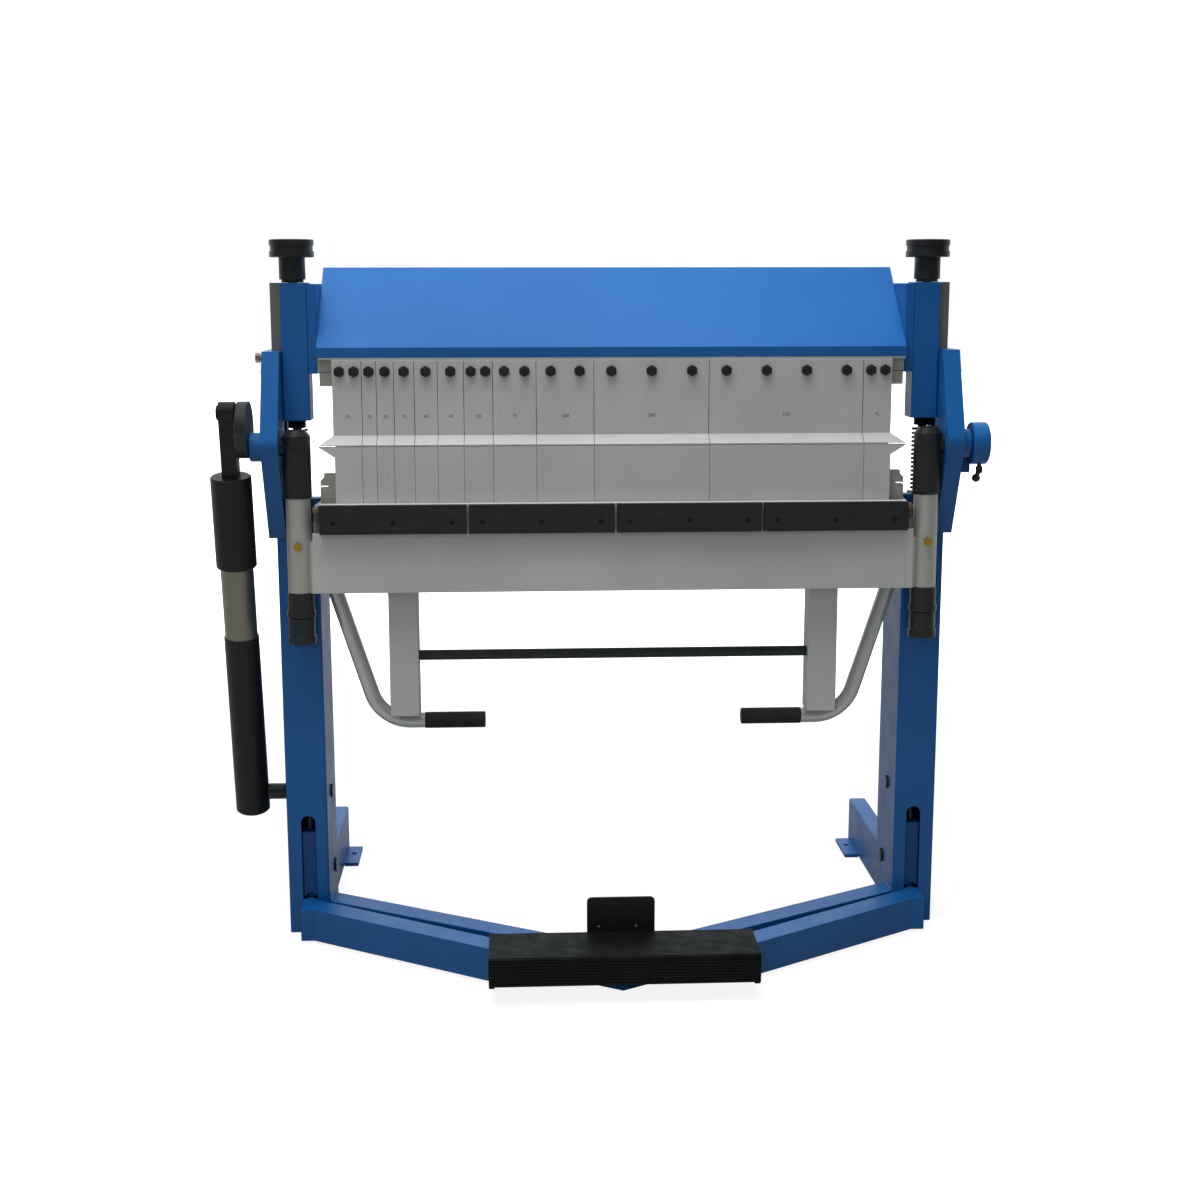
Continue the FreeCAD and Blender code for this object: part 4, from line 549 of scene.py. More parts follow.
@dataclass(frozen=True)
class Palette:
    """Every finish of the machine, made once."""

    blue: Finish = MachinePaint("blue_machine_paint", linear("155C9E"), rough=0.36, coat=0.05, gloss=0.3, dust=0.01)
    # Painted shade: the same blue paint made darker, for parts that sit in shade inside and under the machine.
    deep_blue: Finish = MachinePaint("blue_machine_paint_painted_shade", linear("17437C"), rough=0.4, coat=0.0, gloss=0.3)
    grey: Finish = MachinePaint("light_grey_paint", linear("BFC2C0"), rough=0.45, coat=0.0)
    beam: Finish = MachinePaint("light_grey_paint_and_bare_tubes", linear("BFC2C0"), rough=0.45, coat=0.0, bare=0.526)
    silver: Finish = MachinePaint("silver_paint", linear("C4C6C5"), rough=0.32, metal=0.55, coat=0.1, peel=0.12)
    black: Finish = MachinePaint("black_paint", linear("1B1B1B"), rough=0.4, coat=0.0, gloss=0.3)
    blade: Finish = GroundSteel("ground_blade_steel", linear("BEC0BF"), Grain.UPRIGHT, rough=0.5, metal=0.15)
    rail: Finish = GroundSteel("ground_rail_steel", linear("A8A7A0"), Grain.ACROSS, rough=0.5, metal=0.3)
    rod: Finish = GroundSteel("turned_rod_steel", linear("8C8B84"), Grain.NONE, rough=0.35, metal=0.9)
    tube: Finish = GroundSteel("bare_tube_steel", linear("8B897C"), Grain.UPRIGHT, rough=0.4, metal=0.85, stain=0.9)
    wear: Finish = GroundSteel("wear_plate_steel", linear("6E716B"), Grain.UPRIGHT, rough=0.5, metal=0.3)
    dark: Finish = DarkSteel("blackened_steel", linear("2B2D2F"), rough=0.34, metal=0.45, gloss=0.6)
    matt: Finish = DarkSteel("blackened_strip_steel", linear("2A2C2D"), rough=0.55, metal=0.2, rubbed=0.2)
    spring: Finish = DarkSteel("spring_wire", linear("1D1D1E"), rough=0.3, metal=0.8)
    disc: Finish = DarkSteel("crank_steel", linear("34383B"), rough=0.42, metal=0.4)
    zinc: Finish = GroundSteel("zinc_plated_steel", linear("B5AE93"), Grain.NONE, rough=0.3, metal=0.9)
    rusty: Finish = GroundSteel("aged_bolt_steel", linear("86796A"), Grain.NONE, rough=0.45, metal=0.6, stain=0.9)
    brass: Finish = GroundSteel("brass", linear("C9A243"), Grain.NONE, rough=0.28, metal=0.95)
    grip: Finish = SoftRubber("grip_rubber", linear("232526"))
    tread: Finish = SoftRubber("ribbed_tread", linear("0C0E0E"), rough=0.5, edge=0.0003)
    mark: Finish = DarkSteel("etched_mark", linear("5A5A58"), rough=0.6, metal=0.2)
    seam: Finish = DarkSteel("open_joint", linear("4C4D4C"), rough=0.7, metal=0.0, gloss=0.1)


PALETTE = Palette()


class Workshop:
    """Keeps the finishes that are made and dresses nodes and pieces with them."""

    def __init__(self, frame: dict) -> None:
        """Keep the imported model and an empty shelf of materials."""
        self.nodes = frame["nodes"]
        self.shelf: dict[str, bpy.types.Material] = {}

    def material(self, finish: Finish) -> bpy.types.Material:
        """Make a finish, or take it from the shelf.

        Args:
            finish: The finish.

        Returns:
            Its material.
        """
        if finish.name not in self.shelf:
            self.shelf[finish.name] = finish.make()
        return self.shelf[finish.name]

    def dress(self, finish: Finish, *names: str) -> None:
        """Give CAD nodes a finish.

        Args:
            finish: The finish.
            names: Nodes that take it.
        """
        for name in names:
            node = self.nodes[name]
            node.data.materials.clear()
            node.data.materials.append(self.material(finish))
            log.info("dressed %s with %s", name, finish.name)

    def fit(self, piece: bpy.types.Object, name: str, body: str, slot: str, finish: Finish) -> bpy.types.Object:
        """Name a new piece, give it its finish and let it ride on its body.

        Args:
            piece: The modelled piece.
            name: Its name.
            body: The body it moves with.
            slot: The record's material slot; not used.
            finish: Its finish.

        Returns:
            The piece.
        """
        piece.name = name
        piece.data.name = name
        piece.data.materials.clear()
        piece.data.materials.append(self.material(finish))
        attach(piece, body)
        log.info("built %s on %s", name, body)
        return piece


def clear_selection() -> None:
    """Leave nothing selected, because operators act on all that is."""
    bpy.ops.object.select_all(action="DESELECT")


def settle(piece: bpy.types.Object) -> None:
    """Put a piece's place and turn into its mesh.

    Args:
        piece: The piece, which stays selected.
    """
    clear_selection()
    piece.select_set(True)
    bpy.context.view_layer.objects.active = piece
    bpy.ops.object.transform_apply(location=True, rotation=True, scale=True)


def round_edges(piece: bpy.types.Object, width: float) -> None:
    """Round the sharp edges of the active piece in two steps.

    Args:
        piece: The piece.
        width: Millimetres that they are rounded by.
    """
    rim = piece.modifiers.new("edges", "BEVEL")
    rim.width = width * MM
    rim.segments = 2
    rim.limit_method = "ANGLE"
    bpy.ops.object.modifier_apply(modifier=rim.name)


def joined(pieces: list[bpy.types.Object]) -> bpy.types.Object:
    """Join several objects into one.

    Args:
        pieces: The objects, of which the first stays.

    Returns:
        The joined object.
    """
    clear_selection()
    for piece in pieces:
        piece.select_set(True)
    bpy.context.view_layer.objects.active = pieces[0]
    if len(pieces) > 1:
        bpy.ops.object.join()
    settle(pieces[0])
    return pieces[0]


def copies(model: bpy.types.Object, spots: list[Vector]) -> list[bpy.types.Object]:
    """Copy a model, which is at the origin, to each spot and remove the model.

    Args:
        model: The piece to repeat.
        spots: Where the copies go.

    Returns:
        The copies, each with its own mesh.
    """
    made = []
    for spot in spots:
        twin = model.copy()
        twin.data = model.data.copy()
        bpy.context.scene.collection.objects.link(twin)
        twin.location = spot
        made.append(twin)
    bpy.data.objects.remove(model)
    return made


def outline(points: list[Vector]) -> bpy.types.Object:
    """Draw a chain of edges from point to point and leave it selected in edit mode.

    Args:
        points: The corners in order.

    Returns:
        The object that is being edited.
    """
    clear_selection()
    bpy.ops.mesh.primitive_plane_add(size=1.0, location=(0.0, 0.0, 0.0))
    piece = bpy.context.object
    bpy.ops.object.mode_set(mode="EDIT")
    bpy.ops.mesh.select_mode(type="VERT")
    bpy.ops.mesh.select_all(action="SELECT")
    bpy.ops.mesh.merge(type="CENTER")
    bpy.ops.transform.translate(value=points[0])
    for last, spot in zip(points, points[1:]):
        bpy.ops.mesh.extrude_vertices_move(TRANSFORM_OT_translate={"value": spot - last})
    bpy.ops.mesh.select_all(action="SELECT")
    return piece


def close_up() -> None:
    """Turn all faces of the mesh that is being edited outwards and leave edit mode."""
    bpy.ops.mesh.select_all(action="SELECT")
    bpy.ops.mesh.normals_make_consistent(inside=False)
    bpy.ops.object.mode_set(mode="OBJECT")


def turned(points: Profile, steps: int) -> bpy.types.Object:
    """Spin a profile about the upright axis at the origin.

    Args:
        points: Radius and height of each point, in millimetres, from bottom to top.
        steps: Number of steps round.

    Returns:
        The closed, turned object.
    """
    piece = outline([Vector((radius * MM, 0.0, height * MM)) for radius, height in points])
    bpy.ops.mesh.spin(steps=steps, angle=2 * math.pi, center=(0.0, 0.0, 0.0), axis=(0.0, 0.0, 1.0))
    bpy.ops.mesh.select_all(action="SELECT")
    bpy.ops.mesh.remove_doubles(threshold=SAME_SPOT)
    close_up()
    return piece


def traced(points: list[Vector], run: Vector, soft: float = 0.0) -> bpy.types.Object:
    """Pull a flat outline out into a solid.

    Args:
        points: The outline's corners in order.
        run: How far and which way it is pulled.
        soft: Millimetres that its edges are rounded by.

    Returns:
        The solid.
    """
    piece = outline(points)
    bpy.ops.mesh.edge_face_add()
    bpy.ops.mesh.extrude_region_move(TRANSFORM_OT_translate={"value": run})
    close_up()
    if soft:
        round_edges(piece, soft)
    return piece


@dataclass
class HexHead:
    """Hexagon bolt head with a rounded face and a washer rim, modelled facing the operator."""

    flats: float
    high: float
    washer: float = 0.8
    washer_wide: float = 1.06
    washer_sides: int = 28
    face_in: float = 0.16
    face_out: float = 0.12
    dish_in: float = 0.3
    dish_back: float = 0.05
    soft: float = 0.4

    def model(self) -> bpy.types.Object:
        """Model one head at the origin, its foot in the plane of y = 0.

        Returns:
            The head.
        """
        clear_selection()
        radius = self.flats / math.sqrt(3) * MM
        high = self.high * MM
        bpy.ops.mesh.primitive_cylinder_add(
            vertices=6, radius=radius, depth=high, location=(0.0, -high / 2, 0.0), rotation=QUARTER)
        head = bpy.context.object
        settle(head)
        bpy.ops.object.mode_set(mode="EDIT")
        bpy.ops.mesh.select_mode(type="FACE")
        bpy.ops.mesh.select_all(action="DESELECT")
        bpy.ops.object.mode_set(mode="OBJECT")
        for face in head.data.polygons:
            face.select = face.normal.y < -FACING
        bpy.ops.object.mode_set(mode="EDIT")
        bpy.ops.mesh.inset(thickness=radius * self.face_in, depth=0.0)
        bpy.ops.transform.translate(value=(0.0, -high * self.face_out, 0.0))
        bpy.ops.mesh.inset(thickness=radius * self.dish_in, depth=0.0)
        bpy.ops.transform.translate(value=(0.0, high * self.dish_back, 0.0))
        bpy.ops.object.mode_set(mode="OBJECT")
        round_edges(head, self.soft)
        clear_selection()
        bpy.ops.mesh.primitive_cylinder_add(
            vertices=self.washer_sides, radius=self.flats * self.washer_wide / 2 * MM, depth=self.washer * MM,
            location=(0.0, -self.washer * MM / 2, 0.0), rotation=QUARTER)
        collar = bpy.context.object
        settle(collar)
        return joined([head, collar])


@dataclass
class WeldBead:
    """Fillet weld between two points, a low bar with the ripples that a weld pool leaves."""

    start: Vector
    end: Vector
    size: float
    pitch: float = 4.0
    waist: float = 0.8
    sides: int = 8

    def model(self) -> bpy.types.Object:
        """Model the bead in place.

        Returns:
            The bead.
        """
        run = self.end - self.start
        ripples = max(2, int(run.length / (self.pitch * MM)))
        clear_selection()
        bpy.ops.mesh.primitive_cylinder_add(vertices=self.sides, radius=self.size * MM, depth=run.length)
        bead = bpy.context.object
        bpy.ops.object.mode_set(mode="EDIT")
        bpy.ops.mesh.select_mode(type="EDGE")
        bpy.ops.mesh.select_all(action="DESELECT")
        bpy.ops.object.mode_set(mode="OBJECT")
        for edge in bead.data.edges:
            low, high = (bead.data.vertices[i].co.z for i in edge.vertices)
            edge.select = abs(high - low) > run.length / 2
        bpy.ops.object.mode_set(mode="EDIT")
        bpy.ops.mesh.subdivide(number_cuts=2 * ripples - 1)
        bpy.ops.mesh.select_all(action="DESELECT")
        bpy.ops.mesh.select_mode(type="VERT")
        bpy.ops.object.mode_set(mode="OBJECT")
        step = run.length / (2 * ripples)
        for vertex in bead.data.vertices:
            vertex.select = round((vertex.co.z + run.length / 2) / step) % 2 == 0
        bpy.ops.object.mode_set(mode="EDIT")
        bpy.ops.transform.resize(value=(self.waist, self.waist, 1.0))
        bpy.ops.object.mode_set(mode="OBJECT")
        clear_selection()
        bead.select_set(True)
        bpy.ops.object.shade_smooth()
        bead.rotation_mode = "QUATERNION"
        bead.rotation_quaternion = run.to_track_quat("Z", "Y")
        bead.location = (self.start + self.end) / 2
        bpy.context.view_layer.update()
        settle(bead)
        return bead


@dataclass
class Coil:
    """Round wire wound about the upright axis at the origin."""

    radius: float = 16.5
    wire: float = 2.5
    wire_sides: int = 10
    low: float = -89.0
    high: float = 24.0
    turns: int = 15
    steps: int = 28

    def model(self) -> bpy.types.Object:
        """Model the coil.

        Returns:
            The coil.
        """
        clear_selection()
        bpy.ops.mesh.primitive_circle_add(
            vertices=self.wire_sides, radius=self.wire * MM, location=(self.radius * MM, 0.0, self.low * MM),
            rotation=QUARTER)
        coil = bpy.context.object
        settle(coil)
        wind = coil.modifiers.new("wind", "SCREW")
        wind.axis = "Z"
        wind.angle = 2 * math.pi
        wind.screw_offset = (self.high - self.low) * MM / self.turns
        wind.iterations = self.turns
        wind.steps = self.steps
        wind.render_steps = self.steps
        bpy.ops.object.modifier_apply(modifier=wind.name)
        bpy.ops.object.mode_set(mode="EDIT")
        bpy.ops.mesh.select_all(action="SELECT")
        bpy.ops.mesh.fill_holes(sides=0)
        close_up()
        bpy.ops.object.shade_smooth()
        return coil


@dataclass
class CloseCoil:
    """Close-wound end of a spring, standing at the origin."""

    core: float = 14.0
    high: float = 14.0
    turns: tuple[float, ...] = (0.2, 4.8, 9.4)
    bulge: Profile = ((15.4, 0.6), (16.2, 2.3), (15.4, 4.0), (14.2, 4.6))
    steps: int = 36

    def model(self) -> bpy.types.Object:
        """Model the close turns."""
        rings = tuple((radius, low + rise) for low in self.turns for radius, rise in self.bulge)
        return turned(((0.0, 0.0), (self.core, 0.0), *rings, (0.0, self.high)), self.steps)


@dataclass
class StandFrame:
    """Posts, feet, bed, side plates and lower blades."""

    workshop: Workshop
    joints: tuple[float, ...]
    floor: float = -892.0
    post_in: float = 518.0
    post_back: float = 190.0
    foot_in: float = 528.0
    foot_wide: float = 35.0
    foot_high: float = 93.0
    bead: float = 2.6
    bead_out: float = 1.5
    upright_short: float = 6.0
    level_short: float = 3.0
    tie_tip: float = -255.0
    tie_slope: float = 0.58
    tie_across: float = 51.0
    tie_top: float = -835.0
    tie_bead: float = 2.4
    tie_bead_y: tuple[float, float] = (2.0, 42.0)
    tie_bead_back: float = 40.0
    tie_bead_z: tuple[float, float] = (4.0, 46.0)
    cap_from: float = 100.0
    cap_low: float = 50.0
    cap_soft: float = 1.0
    sole_x: tuple[float, float] = (6.0, 67.5)
    sole_y: tuple[float, float] = (46.0, 184.0)
    sole_thick: float = 2.0
    sole_soft: float = 0.4
    joint_half: float = 0.35
    joint_y: tuple[float, float] = (-0.1, 0.3)
    joint_top: float = -1.2
    joint_long: float = 108.0

    def dress(self) -> None:
        """Give the frame's nodes their finishes."""
        shop = self.workshop
        shop.dress(
            PALETTE.blue, "left_post", "right_post", "rear_feet", "anchor_tabs", "tie_bar", "left_side_plate",
            "right_side_plate", "pivot_hubs", "stop_lug",
        )
        # The post caps take the darker blue, which is painted shade.
        shop.dress(PALETTE.deep_blue, "post_caps")
        shop.dress(PALETTE.grey, "bed")
        shop.dress(PALETTE.blade, "lower_blades")
        shop.dress(PALETTE.rail, "lower_rail", "lower_wedge", "table_plate")
        shop.dress(PALETTE.dark, "pedal_pivot_pins", "guide_bolts", "strut_stub", "rod_guides")
        shop.dress(PALETTE.black, "hinge_ears")
        shop.dress(PALETTE.spring, "clamp_springs")
        shop.dress(PALETTE.zinc, "plate_screws")

    def bead_lines(self, side: int) -> list[tuple[Point, Point, float]]:
        """Start, end and size of the weld beads on one side.

        Args:
            side: -1 for the left and 1 for the right.

        Returns:
            The beads round the foot and then the two on the tie bar.
        """
        near = side * self.foot_in
        far = side * (self.foot_in + self.foot_wide)
        back = self.post_back + self.bead_out
        top = self.floor + self.foot_high
        low, high = self.floor + self.upright_short, top - self.upright_short
        short = side * self.level_short
        post = side * self.post_in
        tie = self.tie_tip + self.post_in * self.tie_slope
        tie_back = tie + self.tie_bead_back
        (front, rear), (foot, head) = self.tie_bead_y, self.tie_bead_z
        return [
            ((near, back, low), (near, back, high), self.bead),
            ((far, back, low), (far, back, high), self.bead),
            ((near + short, back, top), (far - short, back, top), self.bead),
            ((post, tie + front, self.tie_top), (post, tie + rear, self.tie_top), self.bead),
            ((post, tie_back, self.floor + foot), (post, tie_back, self.floor + head), self.tie_bead),
        ]

    def welds(self) -> None:
        """Weld beads at the feet, the posts and the tie bar."""
        beads = [WeldBead(place(*start), place(*end), size).model()
                 for side in SIDES for start, end, size in self.bead_lines(side)]
        piece = joined(beads)
        self.workshop.fit(piece, "frame_welds", "frame", "blue_paint", PALETTE.blue)

    def springs(self) -> None:
        """Coil springs between the posts and the slide blocks, their close end left to the seats above."""
        piece = joined(copies(Coil().model(), [place(side * ROD_X, ROD_Y, 0.0) for side in SIDES]))
        self.workshop.fit(piece, "coil_springs", "frame", "spring_steel", PALETTE.spring)
        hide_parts("clamp_springs")

    def tie_caps(self) -> None:
        """Flat bars on top of the tie bar, clear of the hinge in its middle."""
        bars = []
        low = self.floor + self.cap_low
        for side in SIDES:
            points = []
            for x, back in ((self.cap_from, 0.0), (self.post_in, 0.0), (self.post_in, 1.0), (self.cap_from, 1.0)):
                y = self.tie_tip + x * self.tie_slope + back * self.tie_across
                points.append(place(side * x, y, low))
            bars.append(traced(points, Vector((0.0, 0.0, (self.tie_top - low) * MM)), self.cap_soft))
        self.workshop.fit(joined(bars), "tie_bar_caps", "frame", "blue_paint", PALETTE.blue)

    def soles(self) -> None:
        """Thin plates that close the posts on the floor."""
        plates = []
        for side in SIDES:
            near, far = (side * (self.post_in + x) for x in self.sole_x)
            points = level_ring((near, far), self.sole_y, self.floor)
            plates.append(traced(points, Vector((0.0, 0.0, self.sole_thick * MM)), self.sole_soft))
        # The soles take the darker blue, which is painted shade.
        self.workshop.fit(joined(plates), "post_soles", "frame", "blue_paint", PALETTE.deep_blue)

    def seams(self) -> None:
        """Dark joints between the lower blades."""
        run = Vector((0.0, 0.0, -self.joint_long * MM))
        lines = [traced(level_ring((x - self.joint_half, x + self.joint_half), self.joint_y, self.joint_top), run)
                 for x in self.joints]
        self.workshop.fit(joined(lines), "lower_blade_joints", "frame", "black_steel", PALETTE.seam)

    def build(self) -> None:
        """Dress the nodes and add welds, springs, caps, soles and joints."""
        self.dress()
        self.welds()
        self.springs()
        self.tie_caps()
        self.soles()
        self.seams()


@dataclass
class ClampBeam:
    """Upper beam with its blades, slide blocks, rods and knobs."""

    workshop: Workshop
    blade_face: float = 21.0
    bolt_z: float = 126.6
    mark_z: float = 50.1
    mark_high: float = 6.5
    mark_proud: float = 0.05
    type_size: float = 1.35
    widths: tuple[int, ...] = (75, 25, 30, 35, 40, 45, 50, 75, 100, 200, 270, 75)
    bolts: tuple[int, ...] = (2, 1, 1, 1, 1, 1, 2, 2, 2, 3, 4, 2)
    pitches: tuple[float, ...] = (25, 0, 0, 0, 0, 0, 25, 35, 50, 70, 70, 25)
    horn: float = 24.5
    head: HexHead = field(default_factory=lambda: HexHead(flats=17.0, high=7.0))
    joint_wide: float = 1.0
    joint_proud: float = 0.15
    joint_sunk: float = 0.4
    joint_top: float = 144.0
    joint_bend: tuple[float, float] = (17.2, 16.8)
    joint_toe: tuple[float, float] = (2.4, 2.0)
    joint_low: float = 1.15
    bar_end: float = 484.0
    bar_gap_y: tuple[float, float] = (37.8, 38.4)
    bar_gap_z: tuple[float, float] = (124.2, 125.4)
    bar_gap_long: float = 25.0
    bracket_in: float = 512.2
    bracket_thick: float = 15.0
    bracket_soft: float = 0.8
    bracket_side: Profile = ((48.0, 122.0), (100.0, 122.0), (100.0, 205.0), (184.0, 240.0), (184.0, 275.0),
                             (48.0, 275.0))
    seat_z: float = 27.0

    def dress(self) -> None:
        """Give the clamping beam's nodes their finishes."""
        shop = self.workshop
        shop.dress(PALETTE.blue, "upper_beam", "end_brackets", "slide_blocks")
        # The rod yokes take the darker blue, which is painted shade.
        shop.dress(PALETTE.deep_blue, "rod_yokes")
        shop.dress(PALETTE.blade, "upper_blades")
        shop.dress(PALETTE.rail, "upper_bar", "lower_bar", "packing_strip")
        shop.dress(PALETTE.wear, "wear_plates")
        shop.dress(PALETTE.rod, "link_pins")
        shop.dress(PALETTE.dark, "blade_bolts", "left_knob", "right_knob", "pull_rods")

    def spans(self) -> list[tuple[float, float]]:
        """Find where the segments stand.

        Returns:
            Left and right edge of each segment, from the left end of the row.
        """
        edge = -sum(self.widths) / 2
        found = []
        for width in self.widths:
            found.append((edge, edge + width))
            edge += width
        return found

    def middles(self) -> list[float]:
        """Find the middles of the segments, without the horn that either end of the row has.

        Returns:
            The middle of each segment, from the left end of the row.
        """
        half = sum(self.widths) / 2
        found = []
        for left, right in self.spans():
            low = left + self.horn if left <= -half + 1 else left
            high = right - self.horn if right >= half - 1 else right
            found.append((low + high) / 2)
        return found

    def joints(self) -> tuple[float, ...]:
        """Places of the joints between the segments."""
        return tuple(right for _, right in self.spans()[:-1])

    def bolt_heads(self) -> None:
        """Detailed bolt heads in place of the plain ones."""
        spots = []
        for middle, count, pitch in zip(self.middles(), self.bolts, self.pitches):
            for k in range(count):
                spots.append(place(middle + (k - (count - 1) / 2) * pitch, self.blade_face, self.bolt_z))
        piece = joined(copies(self.head.model(), spots))
        self.workshop.fit(piece, "blade_bolt_heads", "clamp_beam", "black_steel", PALETTE.dark)
        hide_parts("blade_bolts")

    def width_marks(self) -> None:
        """Small width numbers etched in the faces of the upper blades."""
        marks = []
        for middle, width in zip(self.middles(), self.widths):
            clear_selection()
            bpy.ops.object.text_add(rotation=QUARTER)
            mark = bpy.context.object
            mark.data.body = str(width)
            mark.data.size = self.mark_high * self.type_size * MM
            mark.data.align_x = "CENTER"
            mark.data.extrude = self.mark_proud * MM
            mark.location = place(middle, self.blade_face - self.mark_proud, self.mark_z - self.mark_high / 2)
            bpy.ops.object.convert(target="MESH")
            bpy.ops.object.mode_set(mode="EDIT")
            bpy.ops.mesh.select_all(action="SELECT")
            bpy.ops.mesh.remove_doubles(threshold=SAME_SPOT)
            bpy.ops.object.mode_set(mode="OBJECT")
            settle(bpy.context.object)
            marks.append(bpy.context.object)
        piece = joined(marks)
        self.workshop.fit(piece, "width_marks", "clamp_beam", "black_steel", PALETTE.mark)

    def seams(self) -> None:
        """Dark joints between the upper blades and between the two bars at their ends."""
        lines = []
        proud, sunk = -self.joint_proud, self.joint_sunk
        face, low, top = self.blade_face, self.joint_low, self.joint_top
        (bend_out, bend_in), (toe_out, toe_in) = self.joint_bend, self.joint_toe
        side = ((face + proud, top), (face + proud, bend_out), (proud, toe_out), (proud, low), (sunk, low),
                (sunk, toe_in), (face + sunk, bend_in), (face + sunk, top))
        for x in self.joints():
            points = [place(x - self.joint_wide / 2, y, z) for y, z in side]
            lines.append(traced(points, Vector((self.joint_wide * MM, 0.0, 0.0))))
        (front, back), (foot, head) = self.bar_gap_y, self.bar_gap_z
        for end in SIDES:
            gap = ((front, foot), (front, head), (back, head), (back, foot))
            points = [place(end * self.bar_end, y, z) for y, z in gap]
            lines.append(traced(points, Vector((end * self.bar_gap_long * MM, 0.0, 0.0))))
        self.workshop.fit(joined(lines), "upper_blade_joints", "clamp_beam", "black_steel", PALETTE.seam)

    def brackets(self) -> None:
        """Square brackets at the beam's ends that reach back behind the roof."""
        plates = []
        for end in SIDES:
            points = [place(end * self.bracket_in, y, z) for y, z in self.bracket_side]
            plates.append(traced(points, Vector((end * self.bracket_thick * MM, 0.0, 0.0)), self.bracket_soft))
        piece = joined(plates)
        self.workshop.fit(piece, "square_brackets", "clamp_beam", "blue_paint", PALETTE.blue)
        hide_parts("end_brackets")

    def spring_seats(self) -> None:
        """Close-wound ends of the springs under the slide blocks."""
        spots = [place(side * ROD_X, ROD_Y, self.seat_z) for side in SIDES]
        piece = joined(copies(CloseCoil().model(), spots))
        self.workshop.fit(piece, "spring_seats", "clamp_beam", "spring_steel", PALETTE.spring)

    def build(self) -> None:
        """Dress the nodes and add heads, marks, joints, brackets and seats."""
        self.dress()
        self.bolt_heads()
        self.width_marks()
        self.seams()
        self.brackets()
        self.spring_seats()


@dataclass
class FoldingBeam:
    """Folding beam with its strips, legs, handles and end sleeves."""

    workshop: Workshop
    bottom: float = -252.0
    leg_in: float = 346.0
    leg_wide: float = 51.5
    leg_y: tuple[float, float] = (10.0, 60.0)
    leg_foot: float = -481.0
    leg_soft: float = 2.0
    top_bead: float = 2.2
    top_bead_y: tuple[float, float] = (14.0, 56.0)
    foot_bead: float = 2.4
    foot_bead_y: tuple[float, float] = (18.0, 46.0)
    screw: Point = (515.5, -12.0, -147.5)
    screw_root: float = 4.4
    screw_crest: float = 5.0
    screw_pitch: float = 0.9
    screw_turns: int = 16
    screw_from: float = 20.0
    screw_head: Profile = ((5.2, 35.0), (6.4, 36.0), (6.4, 42.5), (4.8, 45.0), (0.0, 45.0))
    screw_steps: int = 24
    nut_radius: float = 6.35
    nut_high: float = 20.0
    nut_soft: float = 0.6

    def dress(self) -> None:
        """Give the folding beam's nodes their finishes."""
        shop = self.workshop
        shop.dress(PALETTE.beam, "bending_beam")
        shop.dress(PALETTE.silver, "handles")
        shop.dress(PALETTE.dark, "pivot_shafts")
        shop.dress(PALETTE.grip, "grips")
        shop.dress(PALETTE.matt, "folding_strips", "strip_screws")
        shop.dress(PALETTE.brass, "lock_bolts")
        shop.dress(PALETTE.rusty, "end_bolts")
        shop.dress(PALETTE.dark, "pivot_sleeves", "left_height_nuts", "right_height_nuts")
        shop.dress(PALETTE.rod, "height_spindles")
        shop.dress(PALETTE.disc, "crank_disc", "cross_rod")

    def leg_x(self, side: int) -> tuple[float, float]:
        """Inner and outer face of the leg on one side."""
        return side * self.leg_in, side * (self.leg_in + self.leg_wide)

    def welds(self) -> None:
        """Weld beads where the legs meet the beam."""
        front, back = self.top_bead_y
        beads = [WeldBead(place(x, front, self.bottom), place(x, back, self.bottom), self.top_bead).model()
                 for side in SIDES for x in self.leg_x(side)]
        piece = joined(beads)
        self.workshop.fit(piece, "beam_welds", "folding_beam", "grey_paint", PALETTE.grey)

    def legs(self) -> None:
        """Square legs that stand on the handles' tubes, with two beads across each foot."""
        parts = []
        foot = self.leg_foot
        for side in SIDES:
            near, far = self.leg_x(side)
            points = level_ring((near, far), self.leg_y, foot)
            parts.append(traced(points, Vector((0.0, 0.0, (self.bottom - foot) * MM)), self.leg_soft))
            for y in self.foot_bead_y:
                parts.append(WeldBead(place(near, y, foot), place(far, y, foot), self.foot_bead).model())
        piece = joined(parts)
        self.workshop.fit(piece, "square_legs", "folding_beam", "grey_paint", PALETTE.grey)
        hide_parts("beam_legs")

    def end_screws(self) -> None:
        """Adjusting screws in the beam's notches, each with a hexagon nut below its aged head."""
        x, y, z = self.screw
        spots = [place(side * x, y, z) for side in SIDES]
        thread = [(0.0, 0.0), (self.screw_root, 0.0)]
        for step in range(self.screw_turns):
            low = self.screw_from + self.screw_pitch * step
            thread += [(self.screw_root, low), (self.screw_crest, low + self.screw_pitch / 2)]
        piece = joined(copies(turned((*thread, *self.screw_head), self.screw_steps), spots))
        self.workshop.fit(piece, "end_screws", "folding_beam", "bare_steel", PALETTE.rusty)
        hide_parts("end_bolts")
        clear_selection()
        high = self.nut_high * MM
        bpy.ops.mesh.primitive_cylinder_add(
            vertices=6, radius=self.nut_radius * MM, depth=high, location=(0.0, 0.0, high / 2))
        nut = bpy.context.object
        settle(nut)
        round_edges(nut, self.nut_soft)
        self.workshop.fit(joined(copies(nut, spots)), "end_nuts", "folding_beam", "bare_steel", PALETTE.rod)

    def build(self) -> None:
        """Dress the nodes and add welds, legs and end screws."""
        self.dress()
        self.welds()
        self.legs()
        self.end_screws()


